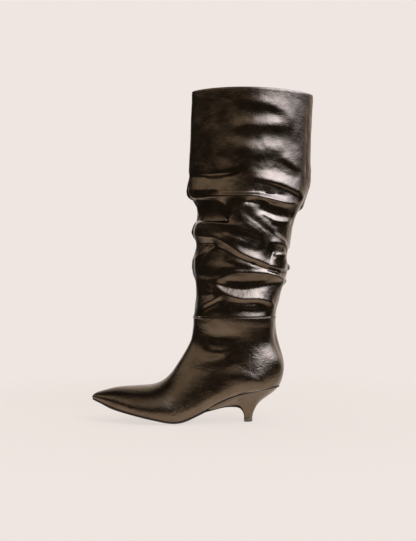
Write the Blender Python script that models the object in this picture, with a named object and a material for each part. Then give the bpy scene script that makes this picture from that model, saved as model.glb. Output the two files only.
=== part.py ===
"""A pointed slouch boot on a low curved heel, worked out from its last.

Metres, +Z up. The toe points to -X and the outer side faces -Y, so this is a left boot. The origin is on the floor
under the middle of the boot's bounding box. Along the foot, `run` is a share of FOOT_LENGTH that goes from 0 at the
back of the heel to 1 at the toe.
"""

import math

import bmesh
import bpy
import numpy as np

MM = 0.001

# Driving sizes
FOOT_LENGTH = 265 * MM
BALL_WIDTH = 78 * MM
HEEL_HEIGHT = 49 * MM
TOE_SPRING = 28 * MM
ANKLE_HEIGHT = 94.7 * MM
SHAFT_HEIGHT = 310 * MM
COLLAR_LENGTH = 167 * MM
COLLAR_WIDTH = 94 * MM
SHAFT_OVERHANG = 40 * MM
COLLAR_TILT = 5 * MM
SHAFT_SLACK = 10 * MM

# Thicknesses, clearances and small sizes
WALL = 1.8 * MM
GAP = 0.3 * MM
SOLE_THICKNESS = 2.6 * MM
FLAP_THICKNESS = 1.4 * MM
EDGE_LIFT = 2.4 * MM
CROWN = 2.6 * MM
TREAD_CROWN = 4.0 * MM
SOLE_INSET = 0.5 * MM
INSOLE_THICKNESS = 2.2 * MM
INSOLE_CLEARANCE = 1.4 * MM
TOP_PIECE_HEIGHT = 4.8 * MM
TOP_PIECE_RIM = 0.5 * MM
TIP_WIDTH = 12.8 * MM
TIP_FLAT = 0.35
PIPING_DIAMETER = 2.2 * MM
PIPING_PROUD = 0.7 * MM

# Places worked out from them
HEEL_BACK_X = (FOOT_LENGTH - SHAFT_OVERHANG) / 2
TREAD_Z = EDGE_LIFT + SOLE_THICKNESS + GAP
SEAM_Z = HEEL_HEIGHT + ANKLE_HEIGHT
TIP_Z = TOP_PIECE_HEIGHT + GAP
HALF_SEAM_SPACE = PIPING_DIAMETER / 2 + GAP

# Outline ends: the heel's round end and the toe's tip, as shares of FOOT_LENGTH
HEEL_END = 0.0275
HEEL_ROUND = 0.106
TOE_ROUND = 0.03
TOE_INSET_RATIO = 1.8
SPLIT_RUN = 0.408
STATION_MARGIN = 0.004
HEEL_FRONT_RUN = SPLIT_RUN - 4 * STATION_MARGIN
INSOLE_TOE_GAP = 0.02

# The last's crown comes in over these shares of FOOT_LENGTH, from the split on and before the toe
CROWN_START = 0.1
CROWN_END = 0.12

# Exponents of the half sections of the foot, under and over the widest place
LOWER_POWER = 2.2
UPPER_POWER = 1.9

# The shaft's plan: exponents of its curve round the ankle, and along and across it at the collar, where it is drawn to
# a soft edge front and back; LENS_REACH is the height share where that shape is complete
ROUND_POWER = 0.93
LENS_ALONG = 1.0
LENS_ACROSS = 1.5
LENS_REACH = 0.75

# Mesh steps
SECTION_SAMPLES = 60
SHARP_DEGREES = 50
SAME_POINT = 0.002 * MM
UPPER_ROWS_PER_SECTION = 2
UPPER_COLUMNS = 24
SOLE_COLUMNS = 8
FLAP_FIRST_ROW = 0.5
FLAP_ROW_STEP = 0.75
SHAFT_COLUMNS = 36
PIPING_SIDES = 6


def table(columns, rows):
    """A table as one array for each named column."""
    values = np.array(rows, float)
    return {name: values[:, i] for i, name in enumerate(columns.split())}


# The feather line, where upper meets sole: its height over the tread, as shares of the toe spring and of the heel
FEATHER = table(
    "run    toe    heel",
    [
        (0.00, 0.00, 1.00),
        (0.054, 0.00, 1.00),
        (0.114, 0.00, 0.950),
        (0.173, 0.00, 0.884),
        (0.232, 0.00, 0.800),
        (0.290, 0.00, 0.680),
        (0.349, 0.00, 0.518),
        (0.407, 0.00, 0.330),
        (0.452, 0.00, 0.198),
        (0.498, 0.00, 0.082),
        (0.533, 0.00, 0.020),
        (0.570, 0.00, 0.00),
        (0.605, 0.028, 0.00),
        (0.648, 0.108, 0.00),
        (0.700, 0.208, 0.00),
        (0.767, 0.346, 0.00),
        (0.855, 0.545, 0.00),
        (0.911, 0.704, 0.00),
        (0.957, 0.861, 0.00),
        (1.00, 1.00, 0.00),
    ],
)

# The feather outline: half widths from the axis, as shares of the ball width
OUTLINE = table(
    "run   outer  inner",
    [
        (0.00, 0.355, 0.355),
        (0.13, 0.366, 0.360),
        (0.25, 0.352, 0.312),
        (0.36, 0.362, 0.272),
        (0.45, 0.412, 0.290),
        (0.55, 0.478, 0.372),
        (0.62, 0.500, 0.440),
        (0.70, 0.482, 0.478),
        (0.78, 0.420, 0.452),
        (0.86, 0.308, 0.340),
        (0.92, 0.200, 0.222),
        (0.965, 0.112, 0.122),
        (1.00, 0.060, 0.066),
    ],
)

# Sections across the upper, each in a plane from a low point to the ridge line. The low point is on the feather line,
# or, where back is over 0, on the heel's back curve at that share of the ankle height. ridge_rise is the ridge's share
# of the way from the low point up to the ankle seam. Half widths are shares of the ball width, widest is where they lie.
UPPER = table(
    "run   back  ridge_run ridge_rise outer  inner  widest",
    [
        (1.000, 0.00, 1.000, 0.000, 0.000, 0.000, 0.30),
        (0.984, 0.00, 0.993, 0.042, 0.074, 0.080, 0.28),
        (0.960, 0.00, 0.975, 0.090, 0.125, 0.135, 0.25),
        (0.918, 0.00, 0.935, 0.150, 0.206, 0.228, 0.22),
        (0.865, 0.00, 0.876, 0.213, 0.305, 0.338, 0.20),
        (0.805, 0.00, 0.807, 0.253, 0.402, 0.430, 0.18),
        (0.740, 0.00, 0.735, 0.284, 0.470, 0.482, 0.17),
        (0.680, 0.00, 0.676, 0.316, 0.506, 0.492, 0.17),
        (0.620, 0.00, 0.632, 0.368, 0.513, 0.462, 0.17),
        (0.560, 0.00, 0.598, 0.428, 0.500, 0.430, 0.17),
        (0.490, 0.00, 0.569, 0.482, 0.482, 0.412, 0.17),
        (0.405, 0.00, 0.540, 0.535, 0.472, 0.416, 0.17),
        (0.310, 0.00, 0.515, 0.578, 0.476, 0.440, 0.17),
        (0.215, 0.00, 0.498, 0.624, 0.486, 0.468, 0.18),
        (0.130, 0.00, 0.486, 0.676, 0.492, 0.480, 0.22),
        (0.067, 0.00, 0.480, 0.728, 0.490, 0.480, 0.29),
        (0.0275, 0.00, 0.477, 0.771, 0.486, 0.478, 0.37),
        (0.0060, 0.16, 0.475, 0.795, 0.487, 0.481, 0.44),
        (0.0010, 0.35, 0.473, 0.810, 0.494, 0.490, 0.48),
        (0.0200, 0.56, 0.472, 0.830, 0.511, 0.509, 0.50),
        (0.0390, 0.78, 0.472, 0.860, 0.534, 0.533, 0.50),
        (0.0440, 1.00, 0.472, 1.000, 0.558, 0.558, 0.50),
    ],
)
FIRST_BACK_SECTION = 16

# The lower line of the arch and the heel's front, from the split to the tip; rise is a share of the way from the tip up
# to the seat, half widths are shares of the ball width
BREAST = table(
    "run    rise   outer  inner",
    [
        (0.4080, 0.263, 0.360, 0.262),
        (0.3850, 0.288, 0.340, 0.256),
        (0.3600, 0.319, 0.310, 0.245),
        (0.3320, 0.353, 0.270, 0.228),
        (0.3020, 0.373, 0.226, 0.203),
        (0.2720, 0.371, 0.185, 0.174),
        (0.2480, 0.353, 0.150, 0.146),
        (0.2310, 0.310, 0.122, 0.120),
        (0.2190, 0.232, 0.102, 0.101),
        (0.2120, 0.146, 0.090, 0.090),
        (0.2085, 0.068, 0.083, 0.083),
        (0.2065, 0.000, 0.079, 0.079),
    ],
)

# Levels of the heel block from the seat to the tip: the row of the breast line where each starts, its back end, its
# width as a share of the seat's, how much of the seat's bow it keeps, and how far its outline has turned into the tip's
HEEL_LEVELS = table(
    "breast back_run back_rise width  bow   tip",
    [
        (1.6, 0.038, 0.916, 0.92, 0.90, 0.00),
        (2.9, 0.060, 0.793, 0.78, 0.70, 0.05),
        (4.2, 0.088, 0.667, 0.64, 0.45, 0.15),
        (5.5, 0.116, 0.542, 0.49, 0.25, 0.35),
        (6.6, 0.137, 0.414, 0.40, 0.10, 0.55),
        (7.6, 0.150, 0.285, 0.34, 0.00, 0.75),
        (8.7, 0.159, 0.163, 0.30, 0.00, 0.90),
        (9.8, 0.163, 0.068, 0.26, 0.00, 1.00),
        (11.0, 0.1655, 0.000, 0.24, 0.00, 1.00),
    ],
)

# Rings up the shaft: how far each leans back, how far it has spread from the ankle's length to the collar's, and its
# width as a share of the collar's
SHAFT = table(
    "rise   lean   spread width",
    [
        (0.000, 0.000, 0.000, 0.926),
        (0.085, 0.150, 0.040, 0.950),
        (0.180, 0.260, 0.200, 0.975),
        (0.280, 0.360, 0.300, 1.000),
        (0.375, 0.480, 0.420, 1.020),
        (0.470, 0.670, 0.560, 1.040),
        (0.540, 0.760, 0.840, 1.055),
        (0.600, 0.815, 0.985, 1.065),
        (0.700, 0.860, 1.010, 1.060),
        (0.830, 0.920, 1.000, 1.030),
        (1.000, 1.000, 1.000, 1.000),
    ],
)

# Soft folds of the slack shaft. Angles run from 0 at the back over the outer side at 90 and the front at 180 to the
# inner side at 270. start, middle and end are heights as shares of the shaft, so is half_height; out and drop are
# shares of the slack.
FOLDS = table(
    "from  to    start  middle end    half_height out    drop",
    [
        (95, 255, 0.530, 0.545, 0.520, 0.034, 0.55, 0.40),
        (-75, 92, 0.500, 0.515, 0.530, 0.030, 0.55, 0.55),
        (70, 205, 0.352, 0.425, 0.380, 0.034, 0.60, 0.45),
        (20, 100, 0.345, 0.400, 0.450, 0.030, 0.35, 0.15),
        (48, 140, 0.250, 0.305, 0.350, 0.028, 0.45, 0.35),
        (-30, 140, 0.190, 0.235, 0.315, 0.028, 0.45, 0.35),
        (130, 250, 0.240, 0.245, 0.250, 0.034, 0.50, 0.25),
        (-60, 125, 0.165, 0.150, 0.165, 0.030, 0.42, 0.30),
        (150, 320, 0.130, 0.145, 0.150, 0.030, 0.35, 0.20),
        (15, 185, 0.040, 0.072, 0.030, 0.026, 0.35, 0.20),
        (190, 370, 0.040, 0.070, 0.045, 0.028, 0.35, 0.20),
        (225, 350, 0.420, 0.400, 0.425, 0.036, 0.50, 0.35),
        (205, 300, 0.320, 0.330, 0.350, 0.032, 0.40, 0.30),
        (260, 345, 0.270, 0.240, 0.250, 0.030, 0.40, 0.25),
        (88, 215, 0.665, 0.655, 0.660, 0.030, 0.22, 0.05),
    ],
)
SEAM_REACH = 0.2
SEAM_CALM = 0.03
FOLD_FADE = 0.22
TROUGH_SHARE = 0.45
TROUGH_PLACE = 1.25
TROUGH_HALF = 0.85

# Heights of the shaft's mesh rings, as shares: close together where it folds
LOW_RINGS = 28
HIGH_RINGS = 7
SLACK_TOP = 0.60

LEATHER = ("bronze_leather", (0.045, 0.034, 0.026, 1.0), 0.22, 0.35)
SOLE_LEATHER = ("sole_leather", (0.030, 0.022, 0.017, 1.0), 0.45, 0.0)
RUBBER = ("top_piece_rubber", (0.012, 0.011, 0.010, 1.0), 0.60, 0.0)
LINING = ("sock_lining", (0.30, 0.22, 0.16, 1.0), 0.70, 0.0)


def spline(at, knots, values):
    """Natural cubic spline through the knots, read at `at` and held at its ends."""
    knots = np.asarray(knots, float)
    values = np.asarray(values, float)
    count = len(knots)
    spans = np.diff(knots)
    system = np.eye(count)
    right = np.zeros(count)
    for i in range(1, count - 1):
        system[i, i - 1 : i + 2] = spans[i - 1], 2 * (spans[i - 1] + spans[i]), spans[i]
        right[i] = 6 * ((values[i + 1] - values[i]) / spans[i] - (values[i] - values[i - 1]) / spans[i - 1])
    bends = np.linalg.solve(system, right)
    at = np.clip(at, knots[0], knots[-1])
    cell = np.clip(np.searchsorted(knots, at, side="right") - 1, 0, count - 2)
    before = at - knots[cell]
    after = knots[cell + 1] - at
    span = spans[cell]
    curved = (bends[cell] * after**3 + bends[cell + 1] * before**3) / (6 * span)
    low_end = (values[cell] / span - bends[cell] * span / 6) * after
    high_end = (values[cell + 1] / span - bends[cell + 1] * span / 6) * before
    return curved + low_end + high_end


def read_rows(rows, source, name):
    """A table's column at fractional row numbers."""
    return spline(rows, np.arange(len(source[name])), source[name])


def x_at(run):
    return HEEL_BACK_X - np.asarray(run) * FOOT_LENGTH


def run_at(x):
    return (HEEL_BACK_X - np.asarray(x)) / FOOT_LENGTH


def blend(low, high, share):
    return low + (high - low) * share


def soft_step(share):
    share = np.clip(share, 0.0, 1.0)
    return share * share * (3 - 2 * share)


def feather_z(run):
    toe = spline(run, FEATHER["run"], FEATHER["toe"])
    heel = spline(run, FEATHER["run"], FEATHER["heel"])
    return TREAD_Z + toe * TOE_SPRING + heel * (HEEL_HEIGHT - TREAD_Z)


def outline(run, side, inset=0.0):
    """Half width of the feather outline, drawn in by `inset`."""
    run = np.asarray(run, float)
    half = spline(run, OUTLINE["run"], OUTLINE[side]) * BALL_WIDTH - inset
    heel_middle = HEEL_END + HEEL_ROUND
    heel_reach = HEEL_ROUND - inset / FOOT_LENGTH
    toe_end = 1 - TOE_INSET_RATIO * inset / FOOT_LENGTH
    heel_share = np.clip((heel_middle - run) / heel_reach, 0, 1)
    toe_share = np.clip((run - toe_end + TOE_ROUND) / TOE_ROUND, 0, 1)
    return np.maximum(half, 0) * np.sqrt(1 - heel_share**2) * np.sqrt(1 - toe_share**2)


def bottom_z(x, y, crown=CROWN):
    """The underside of the last: the feather line, crowned across the forepart."""
    run = run_at(x)
    half = np.where(np.asarray(y) < 0, outline(run, "outer"), outline(run, "inner"))
    across = np.clip(np.abs(y) / np.maximum(half, MM), 0, 1)
    along = soft_step((run - SPLIT_RUN) / CROWN_START) * soft_step((1 - run) / CROWN_END)
    return feather_z(run) - crown * along * (1 - across**2)


def half_section(width, foot, widest):
    """Points (share of the way up, half width) from the feather over the widest place to the ridge."""
    filled = min(foot / width, 0.999)
    reach = widest / (1 - filled**LOWER_POWER) ** (1 / LOWER_POWER)
    angle = np.linspace(0, math.pi / 2, SECTION_SAMPLES)
    start = math.asin(min(1.0, widest / reach))
    lower_angle = np.linspace(start, 0, SECTION_SAMPLES)
    low_up = widest - reach * np.sin(lower_angle)
    low_out = width * np.maximum(1 - np.sin(lower_angle) ** LOWER_POWER, 0) ** (1 / LOWER_POWER)
    high_up = widest + (1 - widest) * np.sin(angle)
    high_out = width * np.maximum(1 - np.sin(angle) ** UPPER_POWER, 0) ** (1 / UPPER_POWER)
    up = np.concatenate([low_up, high_up[1:]])
    out = np.concatenate([low_out, high_out[1:]])
    return up, out


def even_steps(up, out, length, steps):
    """The same curve read at even distances along itself."""
    travel = np.concatenate([[0], np.cumsum(np.hypot(np.diff(up) * length, np.diff(out)))])
    marks = np.linspace(0, travel[-1], steps + 1)
    return np.interp(marks, travel, up), np.interp(marks, travel, out)


def upper_rows(last):
    """Row numbers of the upper's mesh rows up to one of its sections."""
    return np.linspace(0, last, last * UPPER_ROWS_PER_SECTION + 1)


def foot_stations(low, high):
    """Stations along the feather line between two runs, toe first: the ends, and the upper's own rows between them."""
    runs = read_rows(upper_rows(FIRST_BACK_SECTION), UPPER, "run")
    between = runs[(runs > low + STATION_MARGIN) & (runs < high - STATION_MARGIN)]
    return np.concatenate([[high], between, [low]])


def upper_outside():
    """Grid of points on the upper's outside: rows from the toe to the ankle, columns from outer to inner feather."""
    rows = upper_rows(len(UPPER["run"]) - 1)
    side_steps = UPPER_COLUMNS // 2
    top_rim = SEAM_Z - HALF_SEAM_SPACE
    grid = []
    for row in rows:
        run, back, ridge_run, ridge_rise, widest = (
            float(read_rows(row, UPPER, name)) for name in ("run", "back", "ridge_run", "ridge_rise", "widest")
        )
        is_open = row < FIRST_BACK_SECTION
        low_z = float(feather_z(run)) if is_open else HEEL_HEIGHT + max(back, 0) * (top_rim - HEEL_HEIGHT)
        low = np.array([float(x_at(run)), low_z])
        ridge = np.array([float(x_at(ridge_run)), blend(low_z, top_rim, ridge_rise)])
        length = float(np.hypot(*(ridge - low)))
        sides = []
        for side, sign in (("outer", -1), ("inner", 1)):
            foot = float(outline(run, side)) if is_open else 0.0
            width = max(float(read_rows(row, UPPER, side)) * BALL_WIDTH, foot * 1.004, 1e-5)
            up, out = half_section(width, foot, widest)
            up, out = even_steps(up, out, length, side_steps)
            spot = low + np.outer(up, ridge - low)
            sides.append(np.column_stack([spot[:, 0], sign * out, spot[:, 1]]))
        grid.append(np.vstack([sides[0], sides[1][-2::-1]]))
    return np.array(grid), FIRST_BACK_SECTION * UPPER_ROWS_PER_SECTION


def unit(vectors):
    return vectors / np.maximum(np.linalg.norm(vectors, axis=-1, keepdims=True), 1e-12)


def grid_normals(grid, closed):
    """Normals of a grid of points, from its neighbours along and across."""
    along = np.gradient(grid, axis=0)
    if closed:
        across = np.roll(grid, -1, axis=1) - np.roll(grid, 1, axis=1)
    else:
        across = np.gradient(grid, axis=1)
    return unit(np.cross(along, across))


def flat_unit(vectors):
    flat = vectors.copy()
    flat[..., 2] = 0
    return unit(flat)


def upper_inside(outside, open_rows):
    """The inside of the upper's wall, with rims on the sole and at the ankle seam."""
    normals = grid_normals(outside, closed=False)
    shared = unit(normals[open_rows:, 0] + normals[open_rows:, -1])
    normals[open_rows:, 0] = shared
    normals[open_rows:, -1] = shared
    centre = outside[len(outside) // 2].mean(axis=0)
    if np.dot(normals[len(outside) // 2, 0], outside[len(outside) // 2, 0] - centre) < 0:
        normals = -normals
    inside = outside - WALL * normals
    for column in (0, -1):
        rim = outside[: open_rows + 1, column] - WALL * flat_unit(normals[: open_rows + 1, column])
        rim[:, 2] = bottom_z(rim[:, 0], rim[:, 1])
        inside[: open_rows + 1, column] = rim
    inside[-1] = outside[-1] - WALL * flat_unit(normals[-1])
    inside[0] = outside[0] + [TOE_INSET_RATIO * WALL, 0, 0]
    return inside


def new_mesh(name, vertices, faces, material):
    """A closed mesh object from points and faces, with doubled points joined and faces turned out."""
    shape = bmesh.new()
    points = [shape.verts.new(vertex) for vertex in vertices]
    for face in faces:
        corners = list(dict.fromkeys(face))
        shape.faces.new([points[i] for i in corners])
    bmesh.ops.remove_doubles(shape, verts=shape.verts, dist=SAME_POINT)
    bmesh.ops.dissolve_degenerate(shape, edges=shape.edges, dist=SAME_POINT)
    bmesh.ops.triangulate(shape, faces=shape.faces)
    bmesh.ops.recalc_face_normals(shape, faces=shape.faces)
    mesh = bpy.data.meshes.new(name)
    shape.to_mesh(mesh)
    shape.free()
    mesh.shade_smooth()
    mesh.set_sharp_from_angle(angle=math.radians(SHARP_DEGREES))
    mesh.materials.append(make_material(*material))
    made = bpy.data.objects.new(name, mesh)
    bpy.context.scene.collection.objects.link(made)
    return made


def make_material(name, colour, roughness, metallic):
    material = bpy.data.materials.get(name)
    if material is None:
        material = bpy.data.materials.new(name)
        material.use_nodes = True
        shader = material.node_tree.nodes["Principled BSDF"]
        shader.inputs["Base Color"].default_value = colour
        shader.inputs["Roughness"].default_value = roughness
        shader.inputs["Metallic"].default_value = metallic
        material.diffuse_color = colour
    return material


def grid_faces(rows, columns, start=0, closed=False):
    """Quads over a grid of points numbered row by row from `start`."""
    faces = []
    for row in range(rows - 1):
        for column in range(columns if closed else columns - 1):
            following = (column + 1) % columns
            a = start + row * columns + column
            b = start + row * columns + following
            faces.append((a, b, b + columns, a + columns))
    return faces


def strip(first, second):
    """Quads between two equally long chains of point numbers."""
    return [(first[i], first[i + 1], second[i + 1], second[i]) for i in range(len(first) - 1)]


def build_upper():
    outside, open_rows = upper_outside()
    inside = upper_inside(outside, open_rows)
    rows, columns = outside.shape[:2]
    size = rows * columns
    vertices = np.vstack([outside.reshape(-1, 3), inside.reshape(-1, 3)])
    faces = grid_faces(rows, columns) + grid_faces(rows, columns, start=size)
    for column in (0, columns - 1):
        chain = [row * columns + column for row in range(open_rows + 1)]
        faces += strip(chain, [size + i for i in chain])
    top = [(rows - 1) * columns + column for column in range(columns)]
    faces += strip(top, [size + i for i in top])
    return new_mesh("upper", vertices, faces, LEATHER)


def slab(name, tops, bottoms, material):
    """A closed plate between two grids of points."""
    rows, columns = tops.shape[:2]
    size = rows * columns
    vertices = np.vstack([tops.reshape(-1, 3), bottoms.reshape(-1, 3)])
    faces = grid_faces(rows, columns) + grid_faces(rows, columns, start=size)
    edges = (
        [row * columns for row in range(rows)],
        [row * columns + columns - 1 for row in range(rows)],
        list(range(columns)),
        list(range(size - columns, size)),
    )
    for edge in edges:
        faces += strip(edge, [size + i for i in edge])
    return new_mesh(name, vertices, faces, material)


def across_foot(run, inset):
    """Places across the foot at one station, outer edge to inner edge."""
    outer = float(outline(run, "outer", inset))
    inner = float(outline(run, "inner", inset))
    share = np.linspace(-1, 1, SOLE_COLUMNS + 1)
    return np.where(share < 0, share * outer, share * inner)


def breast_path(rows, out=0.0):
    """Points (x, z) on the heel's front line, moved into the heel by `out`."""
    rows = np.atleast_1d(np.asarray(rows, float))
    step = 0.01

    def spot(at):
        rise = read_rows(at, BREAST, "rise")
        return np.column_stack([x_at(read_rows(at, BREAST, "run")), blend(TIP_Z, HEEL_HEIGHT, rise)])

    ahead = spot(np.minimum(rows + step, len(BREAST["run"]) - 1)) - spot(np.maximum(rows - step, 0))
    normal = unit(np.column_stack([-ahead[:, 1], ahead[:, 0]]))
    return spot(rows) + normal * out


def build_outsole():
    """The sole from the toe to the split, then the flap down the heel's front to the top piece."""
    tops, bottoms = [], []
    for run in foot_stations(SPLIT_RUN + STATION_MARGIN, 1 - TOE_INSET_RATIO * SOLE_INSET / FOOT_LENGTH):
        y = across_foot(run, SOLE_INSET)
        x = np.full(len(y), float(x_at(run)))
        tops.append(np.column_stack([x, y, bottom_z(x, y) - GAP]))
        tread = bottom_z(x, y, TREAD_CROWN) - GAP - SOLE_THICKNESS
        bottoms.append(np.column_stack([x, y, np.maximum(tread, 0)]))
    flap_rows = np.arange(FLAP_FIRST_ROW, len(BREAST["run"]) - 1 + FLAP_ROW_STEP / 10, FLAP_ROW_STEP)
    share = np.linspace(-1, 1, SOLE_COLUMNS + 1)
    for row in flap_rows:
        outer = float(read_rows(row, BREAST, "outer")) * BALL_WIDTH
        inner = float(read_rows(row, BREAST, "inner")) * BALL_WIDTH
        y = np.where(share < 0, share * outer, share * inner)
        low = breast_path(row)[0]
        high = breast_path(row, FLAP_THICKNESS)[0]
        bottoms.append(np.column_stack([np.full(len(y), low[0]), y, np.full(len(y), low[1])]))
        tops.append(np.column_stack([np.full(len(y), high[0]), y, np.full(len(y), high[1])]))
    return slab("outsole", np.array(tops), np.array(bottoms), SOLE_LEATHER)


def build_insole():
    inset = WALL + INSOLE_CLEARANCE
    start = HEEL_END + inset / FOOT_LENGTH
    end = 1 - TOE_INSET_RATIO * inset / FOOT_LENGTH - INSOLE_TOE_GAP
    tops, bottoms = [], []
    for run in foot_stations(start, end):
        y = across_foot(run, inset)
        x = np.full(len(y), float(x_at(run)))
        bottom = bottom_z(x, y)
        bottoms.append(np.column_stack([x, y, bottom]))
        tops.append(np.column_stack([x, y, bottom + INSOLE_THICKNESS]))
    return slab("insole", np.array(tops), np.array(bottoms), LINING)


def heel_ring(front, back, seat_runs, width, bow, tip, grow=0.0):
    """One level of the heel: two sides from the flat front to the round back, as (outer, inner) points."""
    share = (seat_runs[0] - seat_runs) / (seat_runs[0] - seat_runs[-1])
    seat = feather_z(seat_runs)
    seat_bow = seat - blend(seat[0], seat[-1], share)
    x = blend(front[0], back[0], share)
    z = blend(front[1], back[1], share) + seat_bow * bow
    tip_half = (TIP_WIDTH / 2 + grow) * np.sqrt(1 - np.clip((share - TIP_FLAT) / (1 - TIP_FLAT), 0, 1) ** 2)
    outer = blend(outline(seat_runs, "outer") * width, tip_half, tip)
    inner = blend(outline(seat_runs, "inner") * width, tip_half, tip)
    return np.column_stack([x, -outer, z]), np.column_stack([x, inner, z])


def block(name, levels, material):
    """A closed solid from levels that each have an outer and an inner side of paired points."""
    steps = len(levels[0][0])
    vertices = np.vstack([np.vstack([outer, inner]) for outer, inner in levels])
    width = 2 * steps
    faces = []
    for level in range(len(levels) - 1):
        here, there = level * width, (level + 1) * width
        for start in (0, steps):
            chain = list(range(start, start + steps))
            faces += strip([here + i for i in chain], [there + i for i in chain])
        faces.append((here, here + steps, there + steps, there))
    for start in (0, (len(levels) - 1) * width):
        outer = list(range(start, start + steps))
        faces += strip(outer, [i + steps for i in outer])
    return new_mesh(name, vertices, faces, material)


def build_heel():
    runs = foot_stations(HEEL_END, HEEL_FRONT_RUN)
    seat = feather_z(runs) - GAP
    levels = [heel_ring((x_at(runs[0]), seat[0]), (x_at(runs[-1]), seat[-1]), runs, 1.0, 1.0, 0.0)]
    for i in range(len(HEEL_LEVELS["breast"])):
        front = breast_path(HEEL_LEVELS["breast"][i], FLAP_THICKNESS + GAP)[0]
        back = (x_at(HEEL_LEVELS["back_run"][i]), blend(TIP_Z, HEEL_HEIGHT, HEEL_LEVELS["back_rise"][i]))
        width, bow, tip = (HEEL_LEVELS[name][i] for name in ("width", "bow", "tip"))
        levels.append(heel_ring(front, back, runs, width, bow, tip))
    return block("heel", levels, LEATHER)


def build_top_piece():
    runs = foot_stations(HEEL_END, HEEL_FRONT_RUN)
    front_x = float(breast_path(len(BREAST["run"]) - 1)[0, 0]) - TOP_PIECE_RIM
    back_x = float(x_at(HEEL_LEVELS["back_run"][-1])) + TOP_PIECE_RIM / 2
    levels = []
    for z in (0.0, TOP_PIECE_HEIGHT):
        levels.append(heel_ring((front_x, z), (back_x, z), runs, 0.0, 0.0, 1.0, grow=TOP_PIECE_RIM))
    return block("top_piece", levels, RUBBER)


def fold_push(angle, rise):
    """How far the folds push the shaft out and down at each angle and height, as shares of the slack."""
    out = np.zeros_like(angle)
    drop = np.zeros_like(angle)
    for i in range(len(FOLDS["from"])):
        fold = {name: FOLDS[name][i] for name in FOLDS}
        middle_angle = (fold["from"] + fold["to"]) / 2
        near = middle_angle + (angle - middle_angle + 180) % 360 - 180
        share = (near - fold["from"]) / (fold["to"] - fold["from"])
        fade = soft_step(share / FOLD_FADE) * soft_step((1 - share) / FOLD_FADE)
        path = blend(fold["start"], fold["end"], share)
        path = path + (fold["middle"] - (fold["start"] + fold["end"]) / 2) * 4 * share * (1 - share)
        offset = (rise - path) / fold["half_height"]
        ridge = np.clip(1 - offset**2, 0, 1) ** 2
        trough = np.clip(1 - ((offset + TROUGH_PLACE) / TROUGH_HALF) ** 2, 0, 1) ** 2
        out += fade * fold["out"] * (ridge - TROUGH_SHARE * trough)
        drop += fade * fold["drop"] * ridge
    return out, drop


def shaft_surface(angle, rise):
    """Points on the shaft's outside at angles in degrees and heights as shares."""
    lean = spline(rise, SHAFT["rise"], SHAFT["lean"])
    spread = spline(rise, SHAFT["rise"], SHAFT["spread"])
    collar_share = spline(rise, SHAFT["rise"], SHAFT["width"])
    seam_half_width = UPPER["outer"][-1] * BALL_WIDTH
    half_width = blend(seam_half_width, collar_share * COLLAR_WIDTH / 2, soft_step(rise / SEAM_REACH))
    seam_length = (UPPER["ridge_run"][-1] - UPPER["run"][-1]) * FOOT_LENGTH
    half_length = blend(seam_length, COLLAR_LENGTH, spread) / 2
    seam_middle = x_at(UPPER["run"][-1]) - seam_length / 2
    collar_middle = HEEL_BACK_X + SHAFT_OVERHANG - COLLAR_LENGTH / 2
    middle = blend(seam_middle, collar_middle, lean)
    turn = np.radians(angle)
    cosine, sine = np.cos(turn), np.sin(turn)
    flattened = soft_step(rise / LENS_REACH)
    along = np.sign(cosine) * np.abs(cosine) ** blend(ROUND_POWER, LENS_ALONG, flattened)
    across = np.sign(sine) * np.abs(sine) ** blend(ROUND_POWER, LENS_ACROSS, flattened)
    out, drop = fold_push(angle, rise)
    settle = soft_step(rise / SEAM_CALM)
    push = out * SHAFT_SLACK * settle
    x = middle + (half_length + push) * along
    y = -(half_width + push) * across
    low = SEAM_Z + HALF_SEAM_SPACE
    z = low + rise * (SHAFT_HEIGHT - HALF_SEAM_SPACE) - drop * SHAFT_SLACK * settle
    z = z - COLLAR_TILT * rise**4 * (1 + along) / 2
    return np.stack([x, y, z], axis=-1)


def ring_angles(columns):
    return np.arange(columns) * 360 / columns


def build_shaft():
    """The slack shaft: one hollow wall between the ankle seam and the collar."""
    low = np.linspace(0, SLACK_TOP, LOW_RINGS, endpoint=False)
    high = np.linspace(SLACK_TOP, 1, HIGH_RINGS)
    rise, angle = np.meshgrid(np.concatenate([low, high]), ring_angles(SHAFT_COLUMNS), indexing="ij")
    outside = shaft_surface(angle, rise)
    normals = grid_normals(outside, closed=True)
    middle = outside.mean(axis=1, keepdims=True)
    if np.sum(normals * (outside - middle)) < 0:
        normals = -normals
    for end in (0, -1):
        normals[end] = flat_unit(normals[end])
    inside = outside - WALL * normals
    rows, columns = outside.shape[:2]
    size = rows * columns
    vertices = np.vstack([outside.reshape(-1, 3), inside.reshape(-1, 3)])
    faces = grid_faces(rows, columns, closed=True) + grid_faces(rows, columns, start=size, closed=True)
    for row in (0, rows - 1):
        chain = [row * columns + column for column in range(columns)]
        chain.append(row * columns)
        faces += strip(chain, [size + i for i in chain])
    return new_mesh("shaft", vertices, faces, LEATHER)


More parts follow.
